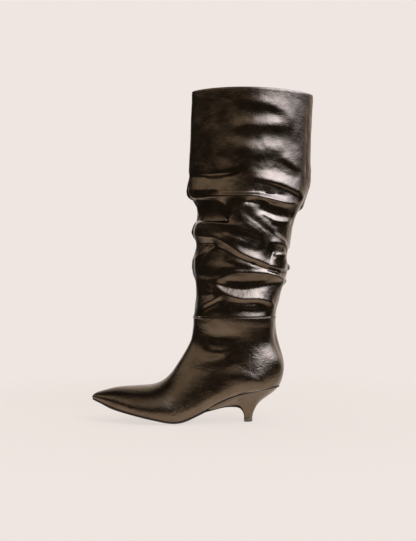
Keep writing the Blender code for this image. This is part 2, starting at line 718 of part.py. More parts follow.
def build_seam_piping():
    """A round cord that follows the ankle seam and stands a little proud of the wall."""
    angle = ring_angles(SHAFT_COLUMNS)
    path = shaft_surface(angle, np.zeros(len(angle)))
    path[:, 2] = SEAM_Z
    middle = path.mean(axis=0)
    ahead = np.roll(path, -1, axis=0) - np.roll(path, 1, axis=0)
    outward = unit(np.column_stack([ahead[:, 1], -ahead[:, 0], np.zeros(len(path))]))
    if np.sum(outward * (path - middle)) < 0:
        outward = -outward
    radius = PIPING_DIAMETER / 2
    path = path + outward * (PIPING_PROUD - radius)
    turn = np.arange(PIPING_SIDES) * 2 * math.pi / PIPING_SIDES
    rings = [path + radius * (outward * math.cos(a) + np.array([0, 0, math.sin(a)])) for a in turn]
    vertices = np.stack(rings, axis=1).reshape(-1, 3)
    count = len(path)
    faces = []
    for i in range(count):
        following = (i + 1) % count
        for j in range(PIPING_SIDES):
            k = (j + 1) % PIPING_SIDES
            here, there = i * PIPING_SIDES, following * PIPING_SIDES
            faces.append((here + j, here + k, there + k, there + j))
    return new_mesh("seam_piping", vertices, faces, LEATHER)


def clear_scene():
    for item in list(bpy.data.objects):
        bpy.data.objects.remove(item, do_unlink=True)


def main():
    clear_scene()
    build_outsole()
    build_heel()
    build_top_piece()
    build_upper()
    build_seam_piping()
    build_shaft()
    build_insole()


main()
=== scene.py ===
"""A slouch boot in glossy bronze leather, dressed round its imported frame.

Metres, +Z up. The toe points to -X and the outer side faces -Y and the camera. Tables hold shares of the
named sizes, or millimetres where their comment says so. Along the foot, `run` goes from 0 at the back of the
heel to 1 at the toe.
"""

import math

import bmesh
import bpy
import numpy as np
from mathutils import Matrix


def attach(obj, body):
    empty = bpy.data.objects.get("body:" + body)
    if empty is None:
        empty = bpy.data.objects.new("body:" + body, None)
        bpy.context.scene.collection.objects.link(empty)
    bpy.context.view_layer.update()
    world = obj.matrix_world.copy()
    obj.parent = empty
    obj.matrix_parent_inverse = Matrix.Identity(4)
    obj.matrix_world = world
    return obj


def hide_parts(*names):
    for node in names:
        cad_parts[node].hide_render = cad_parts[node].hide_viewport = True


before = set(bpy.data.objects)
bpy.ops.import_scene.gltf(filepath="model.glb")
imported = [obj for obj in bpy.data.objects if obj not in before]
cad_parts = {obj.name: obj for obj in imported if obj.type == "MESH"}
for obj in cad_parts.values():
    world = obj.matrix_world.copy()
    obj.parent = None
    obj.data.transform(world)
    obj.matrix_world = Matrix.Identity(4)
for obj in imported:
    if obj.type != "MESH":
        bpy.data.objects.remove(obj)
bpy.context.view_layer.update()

MM = 0.001

# The boot's driving sizes, as in the frame
FOOT_LENGTH = 265 * MM
BALL_WIDTH = 78 * MM
HEEL_HEIGHT = 49 * MM
TOE_SPRING = 28 * MM
ANKLE_HEIGHT = 94.7 * MM
SHAFT_HEIGHT = 310 * MM
COLLAR_LENGTH = 167 * MM
COLLAR_WIDTH = 94 * MM
SHAFT_OVERHANG = 40 * MM
COLLAR_TILT = 5 * MM
WALL = 1.8 * MM
GAP = 0.3 * MM
SOLE_THICKNESS = 2.6 * MM
FLAP_THICKNESS = 1.4 * MM
EDGE_LIFT = 2.4 * MM
CROWN = 2.6 * MM
CROWN_START = 0.1
CROWN_END = 0.12
TREAD_CROWN = 4.0 * MM
SOLE_INSET = 0.5 * MM
INSOLE_THICKNESS = 2.2 * MM
INSOLE_CLEARANCE = 1.4 * MM
INSOLE_TOE_GAP = 0.02
INSOLE_EDGE = 0.75
TOP_PIECE_HEIGHT = 4.8 * MM
TOP_PIECE_RIM = 0.5 * MM
TIP_WIDTH = 12.8 * MM
TIP_FLAT = 0.35
PIPING_DIAMETER = 2.2 * MM
PIPING_PROUD = 0.9 * MM

HEEL_BACK_X = (FOOT_LENGTH - SHAFT_OVERHANG) / 2
TREAD_Z = EDGE_LIFT + SOLE_THICKNESS + GAP
SEAM_Z = HEEL_HEIGHT + ANKLE_HEIGHT
TIP_Z = TOP_PIECE_HEIGHT + GAP
HALF_SEAM_SPACE = PIPING_DIAMETER / 2 + GAP
SHAFT_LOW = SEAM_Z + HALF_SEAM_SPACE
SHAFT_RUN = SHAFT_HEIGHT - HALF_SEAM_SPACE

HEEL_END = 0.0275
HEEL_ROUND = 0.106
TOE_ROUND = 0.03
TOE_INSET_RATIO = 1.8
SPLIT_RUN = 0.408
STATION_MARGIN = 0.004
SEAM_REACH = 0.2
ROUND_POWER = 0.93
LENS_ALONG = 1.0
LENS_ACROSS = 1.5
LENS_REACH = 0.75

# The camera looks along +Y from this far away, level, and sees FRAME_HEIGHT of the boot's middle plane
CAMERA_X = 7.6 * MM
CAMERA_Z = 207.7 * MM
CAMERA_DISTANCE = 1.25
FRAME_HEIGHT = 0.7466
SENSOR = 36.0


def table(columns, rows):
    """A table as one array for each named column."""
    values = np.array(rows, float)
    return {name: values[:, i] for i, name in enumerate(columns.split())}


# The rise of the feather line, as shares of the toe spring and of the heel's height over the tread
FEATHER = table(
    "run    toe    heel",
    [
        (0.00, 0.00, 1.00),
        (0.054, 0.00, 1.00),
        (0.114, 0.00, 0.950),
        (0.173, 0.00, 0.884),
        (0.232, 0.00, 0.800),
        (0.290, 0.00, 0.680),
        (0.349, 0.00, 0.518),
        (0.407, 0.00, 0.330),
        (0.452, 0.00, 0.198),
        (0.498, 0.00, 0.082),
        (0.533, 0.00, 0.020),
        (0.570, 0.00, 0.00),
        (0.605, 0.028, 0.00),
        (0.648, 0.108, 0.00),
        (0.700, 0.208, 0.00),
        (0.767, 0.346, 0.00),
        (0.855, 0.545, 0.00),
        (0.911, 0.704, 0.00),
        (0.957, 0.861, 0.00),
        (1.00, 1.00, 0.00),
    ],
)

# Half widths of the feather line's outline, as shares of the ball width
OUTLINE = table(
    "run   outer  inner",
    [
        (0.00, 0.355, 0.355),
        (0.13, 0.366, 0.360),
        (0.25, 0.352, 0.312),
        (0.36, 0.362, 0.272),
        (0.45, 0.412, 0.290),
        (0.55, 0.478, 0.372),
        (0.62, 0.500, 0.440),
        (0.70, 0.482, 0.478),
        (0.78, 0.420, 0.452),
        (0.86, 0.308, 0.340),
        (0.92, 0.200, 0.222),
        (0.965, 0.112, 0.122),
        (1.00, 0.060, 0.066),
    ],
)

# The upper's sections, each in a slanting plane from its foot at `run` to its ridge. From
# FIRST_BACK_SECTION on the foot climbs the back of the heel, by `back`. The half widths are shares of the
# ball width.
UPPER = table(
    "run   back  ridge_run ridge_rise outer  inner  widest",
    [
        (1.000, 0.00, 1.000, 0.000, 0.000, 0.000, 0.30),
        (0.984, 0.00, 0.993, 0.042, 0.074, 0.080, 0.28),
        (0.960, 0.00, 0.975, 0.090, 0.125, 0.135, 0.25),
        (0.918, 0.00, 0.935, 0.150, 0.206, 0.228, 0.22),
        (0.865, 0.00, 0.876, 0.213, 0.305, 0.338, 0.20),
        (0.805, 0.00, 0.807, 0.253, 0.402, 0.430, 0.18),
        (0.740, 0.00, 0.735, 0.284, 0.470, 0.482, 0.17),
        (0.680, 0.00, 0.676, 0.316, 0.506, 0.492, 0.17),
        (0.620, 0.00, 0.632, 0.368, 0.513, 0.462, 0.17),
        (0.560, 0.00, 0.598, 0.428, 0.500, 0.430, 0.17),
        (0.490, 0.00, 0.569, 0.482, 0.482, 0.412, 0.17),
        (0.405, 0.00, 0.540, 0.535, 0.472, 0.416, 0.17),
        (0.310, 0.00, 0.515, 0.578, 0.476, 0.440, 0.17),
        (0.215, 0.00, 0.498, 0.624, 0.486, 0.468, 0.18),
        (0.130, 0.00, 0.486, 0.676, 0.492, 0.480, 0.22),
        (0.067, 0.00, 0.480, 0.728, 0.490, 0.480, 0.29),
        (0.0275, 0.00, 0.477, 0.771, 0.486, 0.478, 0.37),
        (0.0060, 0.16, 0.475, 0.795, 0.487, 0.481, 0.44),
        (0.0010, 0.35, 0.473, 0.810, 0.494, 0.490, 0.48),
        (0.0200, 0.56, 0.472, 0.830, 0.511, 0.509, 0.50),
        (0.0390, 0.78, 0.472, 0.860, 0.534, 0.533, 0.50),
        (0.0440, 1.00, 0.472, 1.000, 0.558, 0.558, 0.50),
    ],
)
FIRST_BACK_SECTION = 16

# The heel's front line from the end of the sole down to the tip, and the half widths of the flap on it
BREAST = table(
    "run    rise   outer  inner",
    [
        (0.4080, 0.263, 0.360, 0.262),
        (0.3850, 0.288, 0.340, 0.256),
        (0.3600, 0.319, 0.310, 0.245),
        (0.3320, 0.353, 0.270, 0.228),
        (0.3020, 0.373, 0.226, 0.203),
        (0.2720, 0.371, 0.185, 0.174),
        (0.2480, 0.353, 0.150, 0.146),
        (0.2310, 0.310, 0.122, 0.120),
        (0.2190, 0.232, 0.102, 0.101),
        (0.2120, 0.146, 0.090, 0.090),
        (0.2085, 0.068, 0.083, 0.083),
        (0.2065, 0.000, 0.079, 0.079),
    ],
)

# The heel's levels from under the seat to the tip: the row of BREAST in front, the place at the back, and
# shares of the seat's width, of the seat's bow and of the tip's round shape
HEEL_LEVELS = table(
    "breast back_run back_rise width  bow   tip",
    [
        (1.6, 0.038, 0.916, 0.92, 0.90, 0.00),
        (2.9, 0.060, 0.793, 0.78, 0.70, 0.05),
        (4.2, 0.088, 0.667, 0.64, 0.45, 0.15),
        (5.5, 0.116, 0.542, 0.49, 0.25, 0.35),
        (6.6, 0.137, 0.414, 0.40, 0.10, 0.55),
        (7.6, 0.150, 0.285, 0.34, 0.00, 0.75),
        (8.7, 0.159, 0.163, 0.30, 0.00, 0.90),
        (9.8, 0.163, 0.068, 0.26, 0.00, 1.00),
        (11.0, 0.1655, 0.000, 0.24, 0.00, 1.00),
    ],
)

# The plain shaft at its heights: how far its middle and its length have gone from the ankle seam's to the
# collar's, and its width as a share of the collar's
SHAFT = table(
    "rise   lean   spread width",
    [
        (0.000, 0.000, 0.000, 0.926),
        (0.085, 0.150, 0.040, 0.950),
        (0.180, 0.260, 0.200, 0.975),
        (0.280, 0.360, 0.300, 1.000),
        (0.375, 0.480, 0.420, 1.020),
        (0.470, 0.670, 0.560, 1.040),
        (0.540, 0.760, 0.840, 1.055),
        (0.600, 0.815, 0.985, 1.065),
        (0.700, 0.860, 1.010, 1.060),
        (0.830, 0.920, 1.000, 1.030),
        (1.000, 1.000, 1.000, 1.000),
    ],
)

# The shaft's front and back outlines in millimetres, from the ankle seam up
FRONT_EDGE = table(
    "z      x",
    [
        (143.0, -12.7),
        (147.0, -11.6),
        (159.0, -10.8),
        (171.0, -9.0),
        (181.5, -9.0),
        (191.8, -9.2),
        (202.0, -13.1),
        (212.8, -14.9),
        (221.8, -14.2),
        (231.0, -11.2),
        (243.0, -7.6),
        (246.5, -8.1),
        (253.0, -12.7),
        (259.4, -15.7),
        (268.3, -13.4),
        (274.2, -10.4),
        (277.4, -4.8),
        (283.2, -5.7),
        (302.6, -9.7),
        (305.7, -17.3),
        (310.5, -21.4),
        (317.4, -22.4),
        (327.0, -20.7),
        (338.0, -17.9),
        (343.6, -19.3),
        (356.0, -18.6),
        (387.8, -16.8),
        (415.4, -16.1),
        (454.0, -14.5),
    ],
)
BACK_EDGE = table(
    "z      x",
    [
        (143.7, 101.0),
        (147.0, 101.8),
        (153.0, 101.0),
        (157.5, 102.5),
        (165.0, 105.6),
        (175.4, 107.8),
        (185.2, 109.3),
        (189.0, 113.9),
        (193.3, 116.7),
        (201.6, 112.3),
        (204.6, 109.3),
        (206.4, 116.7),
        (208.4, 120.5),
        (214.3, 121.3),
        (217.4, 117.6),
        (225.0, 113.9),
        (232.4, 111.5),
        (234.6, 116.7),
        (238.3, 119.8),
        (245.8, 121.3),
        (257.8, 122.8),
        (268.3, 124.3),
        (280.0, 127.2),
        (287.4, 128.1),
        (289.4, 133.2),
        (293.7, 138.6),
        (302.6, 141.5),
        (311.6, 144.5),
        (323.6, 148.2),
        (332.6, 149.7),
        (360.0, 149.3),
        (387.8, 149.7),
        (415.4, 151.1),
        (447.0, 152.5),
    ],
)

# The main folds of each side, every one a line laid along a ridge or a trough, in millimetres: how
# far the leather stands off the plain shaft from the line's start to its end, how far it hangs down, how
# wide the line spreads, and its points (x, z), as that side shows them
FOLDS = {
    "outer": [
        # the hem of the smooth top panel and the first crease under it
        ((0.9, 1.3, 0.3), 0, 2, [(-18, 343), (-3, 343), (17, 344), (45, 353), (61, 371)]),
        ((-0.8, -2.2, -2, -0.8), 0, 1,
         [(-17, 338.5), (0, 338), (8, 337.6), (25, 338.2), (38, 339), (56, 346)]),
        ((-0.5, -1.4, -0.6), 0, 4, [(72, 354), (104, 353), (132, 340)]),
        ((1.5, 3.2, 4), -1, 1.2,
         [(72, 335.5), (92, 332.5), (111, 327), (126, 320), (135, 315), (141, 306)]),
        ((1, 0.6, 0.4, 0.6, 1.2), 0, 0.7,
         [(70, 330.5), (88, 327.5), (106, 322), (122, 315.5), (134, 308.5)]),
        ((2.2, 1.6, 0.8, 1), 0, 1, [(28, 316), (48, 316.5), (70, 317), (98, 315), (114, 311)]),
        # the big overhanging fold
        ((5.2, 4.6, 3.4), 0, 2, [(-21, 316.5), (0, 317), (22, 317.5)]),
        ((5, 5, 5, 5.5, 6, 5.5), -2, 0,
         [(-20, 309), (-12, 307.5), (3, 308.6), (24, 310.8), (45, 312.4), (59, 311.9), (71, 312),
          (82, 310.3), (93, 307.4), (105, 304), (116, 301), (128, 299.5), (138, 296.5)]),
        ((-4.3, -5.5, -5, -4), 1.5, 0, [(-10, 302.6), (3, 302.8), (17, 301.5), (27, 299), (33, 296)]),
        ((-0.4, -0.8, -1, -1, -1), 1, 0,
         [(60, 303), (73, 304), (85, 301.5), (96, 298.5), (107, 295.5), (119, 292.5)]),
        # the window left of the standing bridge, and the bridge
        ((-5, -5.5, -5.5), 0, 5, [(-6, 290), (5, 289), (20, 288), (28, 287)]),
        ((-5.4, -5, -4), 0, 0.5, [(-5, 279), (10, 278.6), (24, 277.6), (36, 277.6)]),
        ((3, 2.6, 2.6, 3), 0, 0.6, [(41, 308.5), (44.6, 302), (44.3, 292.5), (41.8, 283), (38.5, 276)]),
        ((3, 3, 3.5, 4, 4, 4, 4.2, 4.4), 0, 0.4,
         [(50.5, 308), (51.2, 300), (51.2, 293), (52.3, 286), (55, 279), (59, 273.5), (68, 268.4),
          (76, 262.2), (82, 257), (86.7, 250), (88.3, 241.5), (87.2, 229), (90.4, 220)]),
        ((2.5, 2.5, 2.9, 3.3, 3.5, 3.7, 3.8), 0, 0.6,
         [(54.6, 300), (54.8, 293), (56.2, 287), (59.6, 281.5), (64, 277.6), (72.5, 272.4), (80, 266.4),
          (87, 259.5), (91.5, 252)]),
        ((1.8, 2, 2.5, 2.9, 3), 0, 3, [(64, 298), (66, 288), (76, 278), (87, 268), (97, 258)]),
        # the panel and the small folds behind the bridge
        ((-1, -2, -2.2, -1.8), 0, 2, [(80, 294), (92, 289), (106, 285.5), (123, 284)]),
        ((1, 1.6, 1.8, 1.6), 0, 1.4, [(82, 286), (91, 281), (100, 276), (110, 273.6), (124, 273.8)]),
        ((0.3, 0, -0.8), 0, 1.5, [(98, 272), (112, 271), (124, 270)]),
        ((1.5, 2.2, 3, 3.5), 0, 0.8, [(88, 266), (96, 260), (108, 252), (117, 245.6)]),
        ((0.5, 0.6, 0.6), 0, 0.6, [(104, 261.5), (113, 252), (119.5, 244.5)]),
        ((3.5, 4.6, 4.6, 4, 3), -1, 0,
         [(91.8, 244.5), (96.3, 246.7), (106.6, 245.6), (113.5, 242.2), (120, 239.6)]),
        ((-0.6, -0.8, -0.6, 1.4, 3.6), 0.5, 0,
         [(115, 236), (108, 237), (102, 237.4), (97.4, 233), (95, 226), (93.2, 220)]),
        ((4.2, 6, 6.4), 0, 1.4, [(100, 230), (108, 230), (117, 228.5)]),
        ((4.4, 5.8, 6), 0, 2, [(98, 222), (108, 221), (118, 219)]),
        # the roll across the front, from the window to the bridge's foot
        ((3, 4, 4.6, 4.6, 4, 3), -0.5, 0,
         [(-12, 271), (-6.8, 273.4), (0, 274.4), (8, 275), (18, 274.4), (29, 272.8), (39, 271), (47, 269),
          (61, 263.6), (75, 257), (84, 251.5)]),
        ((3.4, 3.8, 3.8, 3.2, 2.4), 0, 3,
         [(-14, 264), (0, 264), (20, 262), (40, 259), (58, 254), (72, 249)]),
        ((2.9, 2.5, 2.2), 0, 0.7, [(46, 262), (53, 257.5), (61.4, 254.7), (70.7, 252.4), (79, 250.7)]),
        ((3.4, 4.4, 5.2, 5.4, 5.4, 5.4, 5.6, 6), -3, 0,
         [(-15, 257), (-3.5, 255.6), (9, 254.3), (20.7, 252.5), (28.7, 248), (36.6, 243.3), (47.2, 236),
          (57.3, 229.8), (71.2, 224.3), (84, 219.4), (94.4, 214.5), (107, 210.5), (121, 210.5)]),
        ((5, 4.8, 4, 2.6, 2.4), 0, 2.4, [(26, 258), (38, 253), (52, 247), (66, 241), (80, 237)]),
        # the troughs under it and the small folds in front
        ((-4, -4.5, -4, -2.5), 0, 0.6, [(-8, 245.5), (-3, 244.5), (6, 244.6), (17, 244.5)]),
        ((-1.2, -0.2, 0.8, 0.8, -3), 1, 0.4,
         [(20, 240.5), (32, 235), (43, 229), (58, 222), (71, 216.5), (84, 212), (96, 207.5), (109, 204.8)]),
        ((0.6, 1.8, 2.2, 1.8), 0, 1.6, [(30, 220), (48, 216), (66, 212.5), (84, 209.8)]),
        ((-1, 1, 2.4, 2), 0, 0.6, [(6, 241.5), (0.7, 233.5), (-7, 227), (-12, 224)]),
        ((0, 1.5, 2.6, 2.6), 0, 0.8, [(20, 240.5), (11.7, 236), (6, 228), (0, 221), (-11, 216.5)]),
        ((2.6, 3.4, 3.4, 2.6, 1.2), 0, 5, [(-13, 213), (0, 209), (20, 206), (40, 209), (60, 212)]),
        # the lens and the long ridge above the ankle
        ((-1, 1, 2, 3, 3.2, 3.2, 3.6, 4.6, 5.8), -1, 0,
         [(-10, 199), (-5.4, 196.8), (7.3, 194.6), (17.8, 196.1), (28.2, 200.5), (39.5, 204.4),
          (58.7, 205.1), (77.8, 204.9), (94.4, 203.4), (104.2, 200.5), (112.5, 196.3), (118, 193.3)]),
        ((-1.6, -3, -3.2, -2.6), 0, 1, [(33, 194), (48, 192), (66, 192), (88, 193.5)]),
        ((-0.8, -3, -3.8, -3.2, -0.8), 0, 1.2,
         [(21, 189.5), (38, 185.5), (56, 182.5), (82, 186.5), (108, 192)]),
        ((1.4, 2, 2.2, 2.4, 2.6, 2.4, 1.6), -1, 0,
         [(7.3, 193), (17.8, 186.3), (28.2, 178.2), (39.5, 172.3), (58.7, 168.5), (77, 168.2),
          (87.8, 166.3), (96.3, 162.3), (101, 156)]),
        ((-1.6, -2, -1.4), 0, 1.4, [(-9, 175), (3, 175.5), (15, 176.5)]),
        ((2, 2.2, 1.8, 1), -0.6, 0.6, [(29.5, 176), (16, 168), (2, 161), (-8, 154)]),
        ((-1, -1.4, -1.2), 0, 0.8, [(26, 166), (12, 159), (2, 153)]),
        ((-0.8, -1.2, -1.2, -0.8), 0, 1.2, [(36, 163.5), (58, 161), (78, 162), (90, 158)]),
        ((-0.4, -0.6, -0.6, -0.8), 0, 0.4,
         [(2, 149.5), (20.7, 156.5), (35.7, 159), (58.7, 158.5), (77.8, 157.4)]),
        ((-0.5, -0.7, -1.6, -1.5), 0, 1.4, [(14, 150.5), (40, 152), (66, 152.4), (86, 152)]),
        # the back seam and the soft waves of the smooth panel under the collar
        ((-0.7, -0.6, -0.6, -0.5), 0, 0.3, [(142.5, 340), (143.5, 380), (144.5, 420), (145.5, 446)]),
        ((0.3, 0.8, 1.2, 1.6, 1.7), 0, 1.6, [(62, 441.5), (84, 440.5), (102, 436), (115, 428), (124, 418)]),
        ((-0.4, -1.5, -1.5, -0.4), 0, 4, [(34, 427), (58, 428), (84, 427), (102, 424)]),
        ((0.2, 1, 1.5, 1.6), 0, 2.4, [(44, 404), (72, 410), (100, 412), (124, 415)]),
        ((-0.4, -1, -1, -0.6), 0, 4, [(38, 396), (66, 396), (98, 392), (128, 388)]),
        ((0.2, 1.2, 0.9, 0.4), 0, 2.5, [(42, 388), (56, 378), (72, 373), (84, 375)]),
        ((0.2, 0.7, 0.3), 0, 1.5, [(86, 384), (98, 378), (110, 381)]),
        ((0.3, 0.8, 0.4), 0, 1.5, [(112, 366), (122, 356), (132, 350)]),
        ((-0.3, -0.7, -0.2), 0, 4, [(20, 440), (26, 410), (22, 380)]),
        ((0.3, 0.8, 0.3), 0, 5, [(2, 430), (8, 405), (2, 372)]),
    ],
    "inner": [
        # the inner side, where the same folds run on round the leg
        ((5, 5, 4.6, 5, 5.4), -2, 0.4,
         [(-21, 311), (5, 307), (38, 303), (74, 300), (112, 302), (139, 299)]),
        ((-4.3, -4.6, -4.6, -2.4), 1, 0.6,
         [(-10, 302), (10, 297), (40, 294), (74, 291), (110, 293), (131, 288.5)]),
        ((3.2, 4.4, 4.6, 4.4, 3), -1.5, 0.4, [(-14, 262), (12, 268), (46, 260), (84, 251), (120, 241)]),
        ((-4, -4.2, -4, -4), 0, 0.6, [(-7, 246), (14, 256), (48, 248), (86, 238), (112, 233)]),
        ((2, 4.4, 4.6, 4.8, 6), -1.5, 0.4, [(-13, 210), (18, 224), (56, 222), (92, 214), (121, 211)]),
        ((-1, -3.4, -3.6, -3.4, -3.8), 0, 0.8, [(-11, 200), (20, 213), (58, 210), (92, 205), (110, 204.5)]),
        ((-1, 3, 4, 4.2, 5.6), -1, 0.4, [(-8, 184), (22, 190), (60, 196), (94, 197), (117, 193.5)]),
        ((-1.6, -3, -3, 0), 0, 1.5, [(-8, 172), (30, 178), (68, 183), (106, 185)]),
        ((-0.6, 3, 3, 0.6), -1, 0.4, [(-10, 158), (30, 168), (68, 167), (102, 160)]),
        ((-1, -2, -1), 0, 1.4, [(10, 152), (46, 155), (88, 152)]),
        ((-2, 1.8, 3.2, 4), 0, 1.6, [(12, 288), (22, 281), (29, 272), (34, 264)]),
        ((-1.6, 1.6, 3, 4), 0, 1.6, [(84, 283), (80, 274), (84, 263), (88, 254)]),
        ((-1.4, 1.6, 3, 4), 0, 1.6, [(42, 242), (50, 237), (54, 230), (54, 224)]),
        ((1, 2.6, 2.8, 2.4), 0, 2, [(-18, 342), (30, 338), (82, 334), (140, 326)]),
        ((-0.6, -1.4, -1, -0.4), 0, 2, [(-17, 334), (34, 325), (84, 320), (136, 316)]),
        ((0.4, 1, 0.4), 0, 5, [(10, 400), (60, 392), (120, 404)]),
        ((-0.4, -1.2, -0.4), 0, 5, [(20, 424), (70, 418), (120, 428)]),
    ],
}

# The sheet is the grid that the folds are worked out on
SHEET_COLUMNS = 400
SHEET_ROWS = 270
PLACING_PASSES = 4

# A fold line's samples, the share of it that fades at each end, and how strongly it pulls the sheet. It is
# blurred BLUR_STEPS times for each square millimetre of its width squared.
SAMPLE_SPACING = 0.4 * MM
LINE_FADE = 0.12
LINE_END_PULL = 0.1
LINE_PULL = 4
BLUR_STEPS = 1.2

# The pull of the front and back outlines, how many columns it spreads over, and the pull at the seam and
# the collar
OUTLINE_PULL = 1.5
OUTLINE_SPREAD = 9
RIM_PULL = 30

# How far a fold reaches into the leather round it, and how far from the seam and the collar the folds set
# in
FOLD_REACH = 12 * MM
SOLVER_STEPS = 400
SEAM_HOLD = 2.5 * MM
SEAM_CALM = 12 * MM
COLLAR_CALM = 10 * MM

# Small uneven waves: height in millimetres, seed, and how many go round the leg and up it
WAVES = [(0.12, 3, 34, 26), (0.06, 4, 80, 60)]


def spline(at, knots, values):
    """Natural cubic spline through the knots, read at `at` and held at its ends."""
    knots = np.asarray(knots, float)
    values = np.asarray(values, float)
    count = len(knots)
    spans = np.diff(knots)
    system = np.eye(count)
    right = np.zeros(count)
    for i in range(1, count - 1):
        system[i, i - 1 : i + 2] = spans[i - 1], 2 * (spans[i - 1] + spans[i]), spans[i]
        right[i] = 6 * ((values[i + 1] - values[i]) / spans[i] - (values[i] - values[i - 1]) / spans[i - 1])
    bends = np.linalg.solve(system, right)
    at = np.clip(at, knots[0], knots[-1])
    cell = np.clip(np.searchsorted(knots, at, side="right") - 1, 0, count - 2)
    before = at - knots[cell]
    after = knots[cell + 1] - at
    span = spans[cell]
    curved = (bends[cell] * after**3 + bends[cell + 1] * before**3) / (6 * span)
    low_end = (values[cell] / span - bends[cell] * span / 6) * after
    high_end = (values[cell + 1] / span - bends[cell + 1] * span / 6) * before
    return curved + low_end + high_end


def read_rows(rows, source, name):
    """A table's column at fractional row numbers."""
    return spline(rows, np.arange(len(source[name])), source[name])


def rows_of(source):
    """A table's rows, each with its values by name."""
    return [dict(zip(source, values)) for values in zip(*source.values())]


def x_at(run):
    return HEEL_BACK_X - np.asarray(run) * FOOT_LENGTH


def run_at(x):
    return (HEEL_BACK_X - np.asarray(x)) / FOOT_LENGTH


def blend(low, high, share):
    return low + (high - low) * share


def soft_step(share):
    share = np.clip(share, 0.0, 1.0)
    return share * share * (3 - 2 * share)


def unit(vectors):
    return vectors / np.maximum(np.linalg.norm(vectors, axis=-1, keepdims=True), 1e-12)


def flat_unit(vectors):
    flat = vectors.copy()
    flat[..., 2] = 0
    return unit(flat)


def feather_z(run):
    toe = spline(run, FEATHER["run"], FEATHER["toe"])
    heel = spline(run, FEATHER["run"], FEATHER["heel"])
    return TREAD_Z + toe * TOE_SPRING + heel * (HEEL_HEIGHT - TREAD_Z)


def outline(run, side, inset=0.0):
    """Half width of the feather outline, drawn in by `inset`."""
    run = np.asarray(run, float)
    half = spline(run, OUTLINE["run"], OUTLINE[side]) * BALL_WIDTH - inset
    heel_middle = HEEL_END + HEEL_ROUND
    heel_reach = HEEL_ROUND - inset / FOOT_LENGTH
    toe_end = 1 - TOE_INSET_RATIO * inset / FOOT_LENGTH
    heel_share = np.clip((heel_middle - run) / heel_reach, 0, 1)
    toe_share = np.clip((run - toe_end + TOE_ROUND) / TOE_ROUND, 0, 1)
    return np.maximum(half, 0) * np.sqrt(1 - heel_share**2) * np.sqrt(1 - toe_share**2)


def bottom_z(x, y, crown=CROWN):
    """The underside of the last: the feather line, crowned across the forepart."""
    run = run_at(x)
    half = np.where(np.asarray(y) < 0, outline(run, "outer"), outline(run, "inner"))
    across = np.clip(np.abs(y) / np.maximum(half, MM), 0, 1)
    along = soft_step((run - SPLIT_RUN) / CROWN_START) * soft_step((1 - run) / CROWN_END)
    return feather_z(run) - crown * along * (1 - across**2)


def grid_normals(grid, closed):
    """Normals of a grid of points, from its neighbours along and across."""
    along = np.gradient(grid, axis=0)
    if closed:
        across = np.roll(grid, -1, axis=1) - np.roll(grid, 1, axis=1)
    else:
        across = np.gradient(grid, axis=1)
    return unit(np.cross(along, across))


def outward_normals(grid):
    """Normals of a grid that closes round the leg, turned away from its middle."""
    normals = grid_normals(grid, closed=True)
    turned_in = np.sum(normals * (grid - grid.mean(axis=1, keepdims=True))) < 0
    return -normals if turned_in else normals


def even_out(grid, share, axis=0):
    """Draws a grid's inner rows, in place, a share of the way to the mean with their neighbours."""
    rows = np.moveaxis(grid, axis, 0)
    mean = (rows[:-2] + 2 * rows[1:-1] + rows[2:]) / 4
    rows[1:-1] = blend(rows[1:-1], mean, share)


def grid_faces(rows, columns, start=0, closed=False):
    """Quads over a grid of points numbered row by row from `start`."""
    last = columns if closed else columns - 1
    row, column = np.meshgrid(np.arange(rows - 1), np.arange(last), indexing="ij")
    here = start + row * columns + column
    beside = start + row * columns + (column + 1) % columns
    return np.stack([here, beside, beside + columns, here + columns], axis=-1).reshape(-1, 4).tolist()


def strip(first, second):
    """Quads between two equally long chains of point numbers."""
    return [(first[i], first[i + 1], second[i + 1], second[i]) for i in range(len(first) - 1)]


def new_piece(name, vertices, faces, material, slot, node=None, sharp=None, smallest=2e-6):
    """A mesh piece that rides on the boot, with doubled points joined and faces turned out."""
    mesh = bpy.data.meshes.new(name)
    mesh.from_pydata(np.asarray(vertices).tolist(), [], faces)
    shape = bmesh.new()
    shape.from_mesh(mesh)
    bmesh.ops.remove_doubles(shape, verts=shape.verts, dist=smallest)
    bmesh.ops.dissolve_degenerate(shape, edges=shape.edges, dist=smallest)
    bmesh.ops.recalc_face_normals(shape, faces=shape.faces)
    shape.to_mesh(mesh)
    shape.free()
    mesh.shade_smooth()
    if sharp:
        mesh.set_sharp_from_angle(angle=math.radians(sharp))
    mesh.materials.append(material)
    piece = bpy.data.objects.new(name, mesh)
    bpy.context.scene.collection.objects.link(piece)
    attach(piece, "root")
    if node:
        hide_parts(node)
    return piece


def closed_wall(name, rings, *looks):
    """A wall from rings of points that run over its outside and back along its inside."""
    count, columns = rings.shape[:2]
    faces = grid_faces(count, columns, closed=True)
    last = [(count - 1) * columns + i for i in range(columns)] + [(count - 1) * columns]
    faces += strip(last, list(range(columns)) + [0])
    return new_piece(name, rings.reshape(-1, 3), faces, *looks)


def double_wall(name, front, back, edges, *looks, sharp):
    """A wall between two grids of points, closed along the chains of point numbers in `edges`."""
    rows, columns = front.shape[:2]
    size = rows * columns
    vertices = np.vstack([front.reshape(-1, 3), back.reshape(-1, 3)])
    faces = grid_faces(rows, columns) + grid_faces(rows, columns, start=size)
    for edge in edges:
        faces += strip(edge, [size + i for i in edge])
    return new_piece(name, vertices, faces, *looks, sharp=sharp)


# The shaft


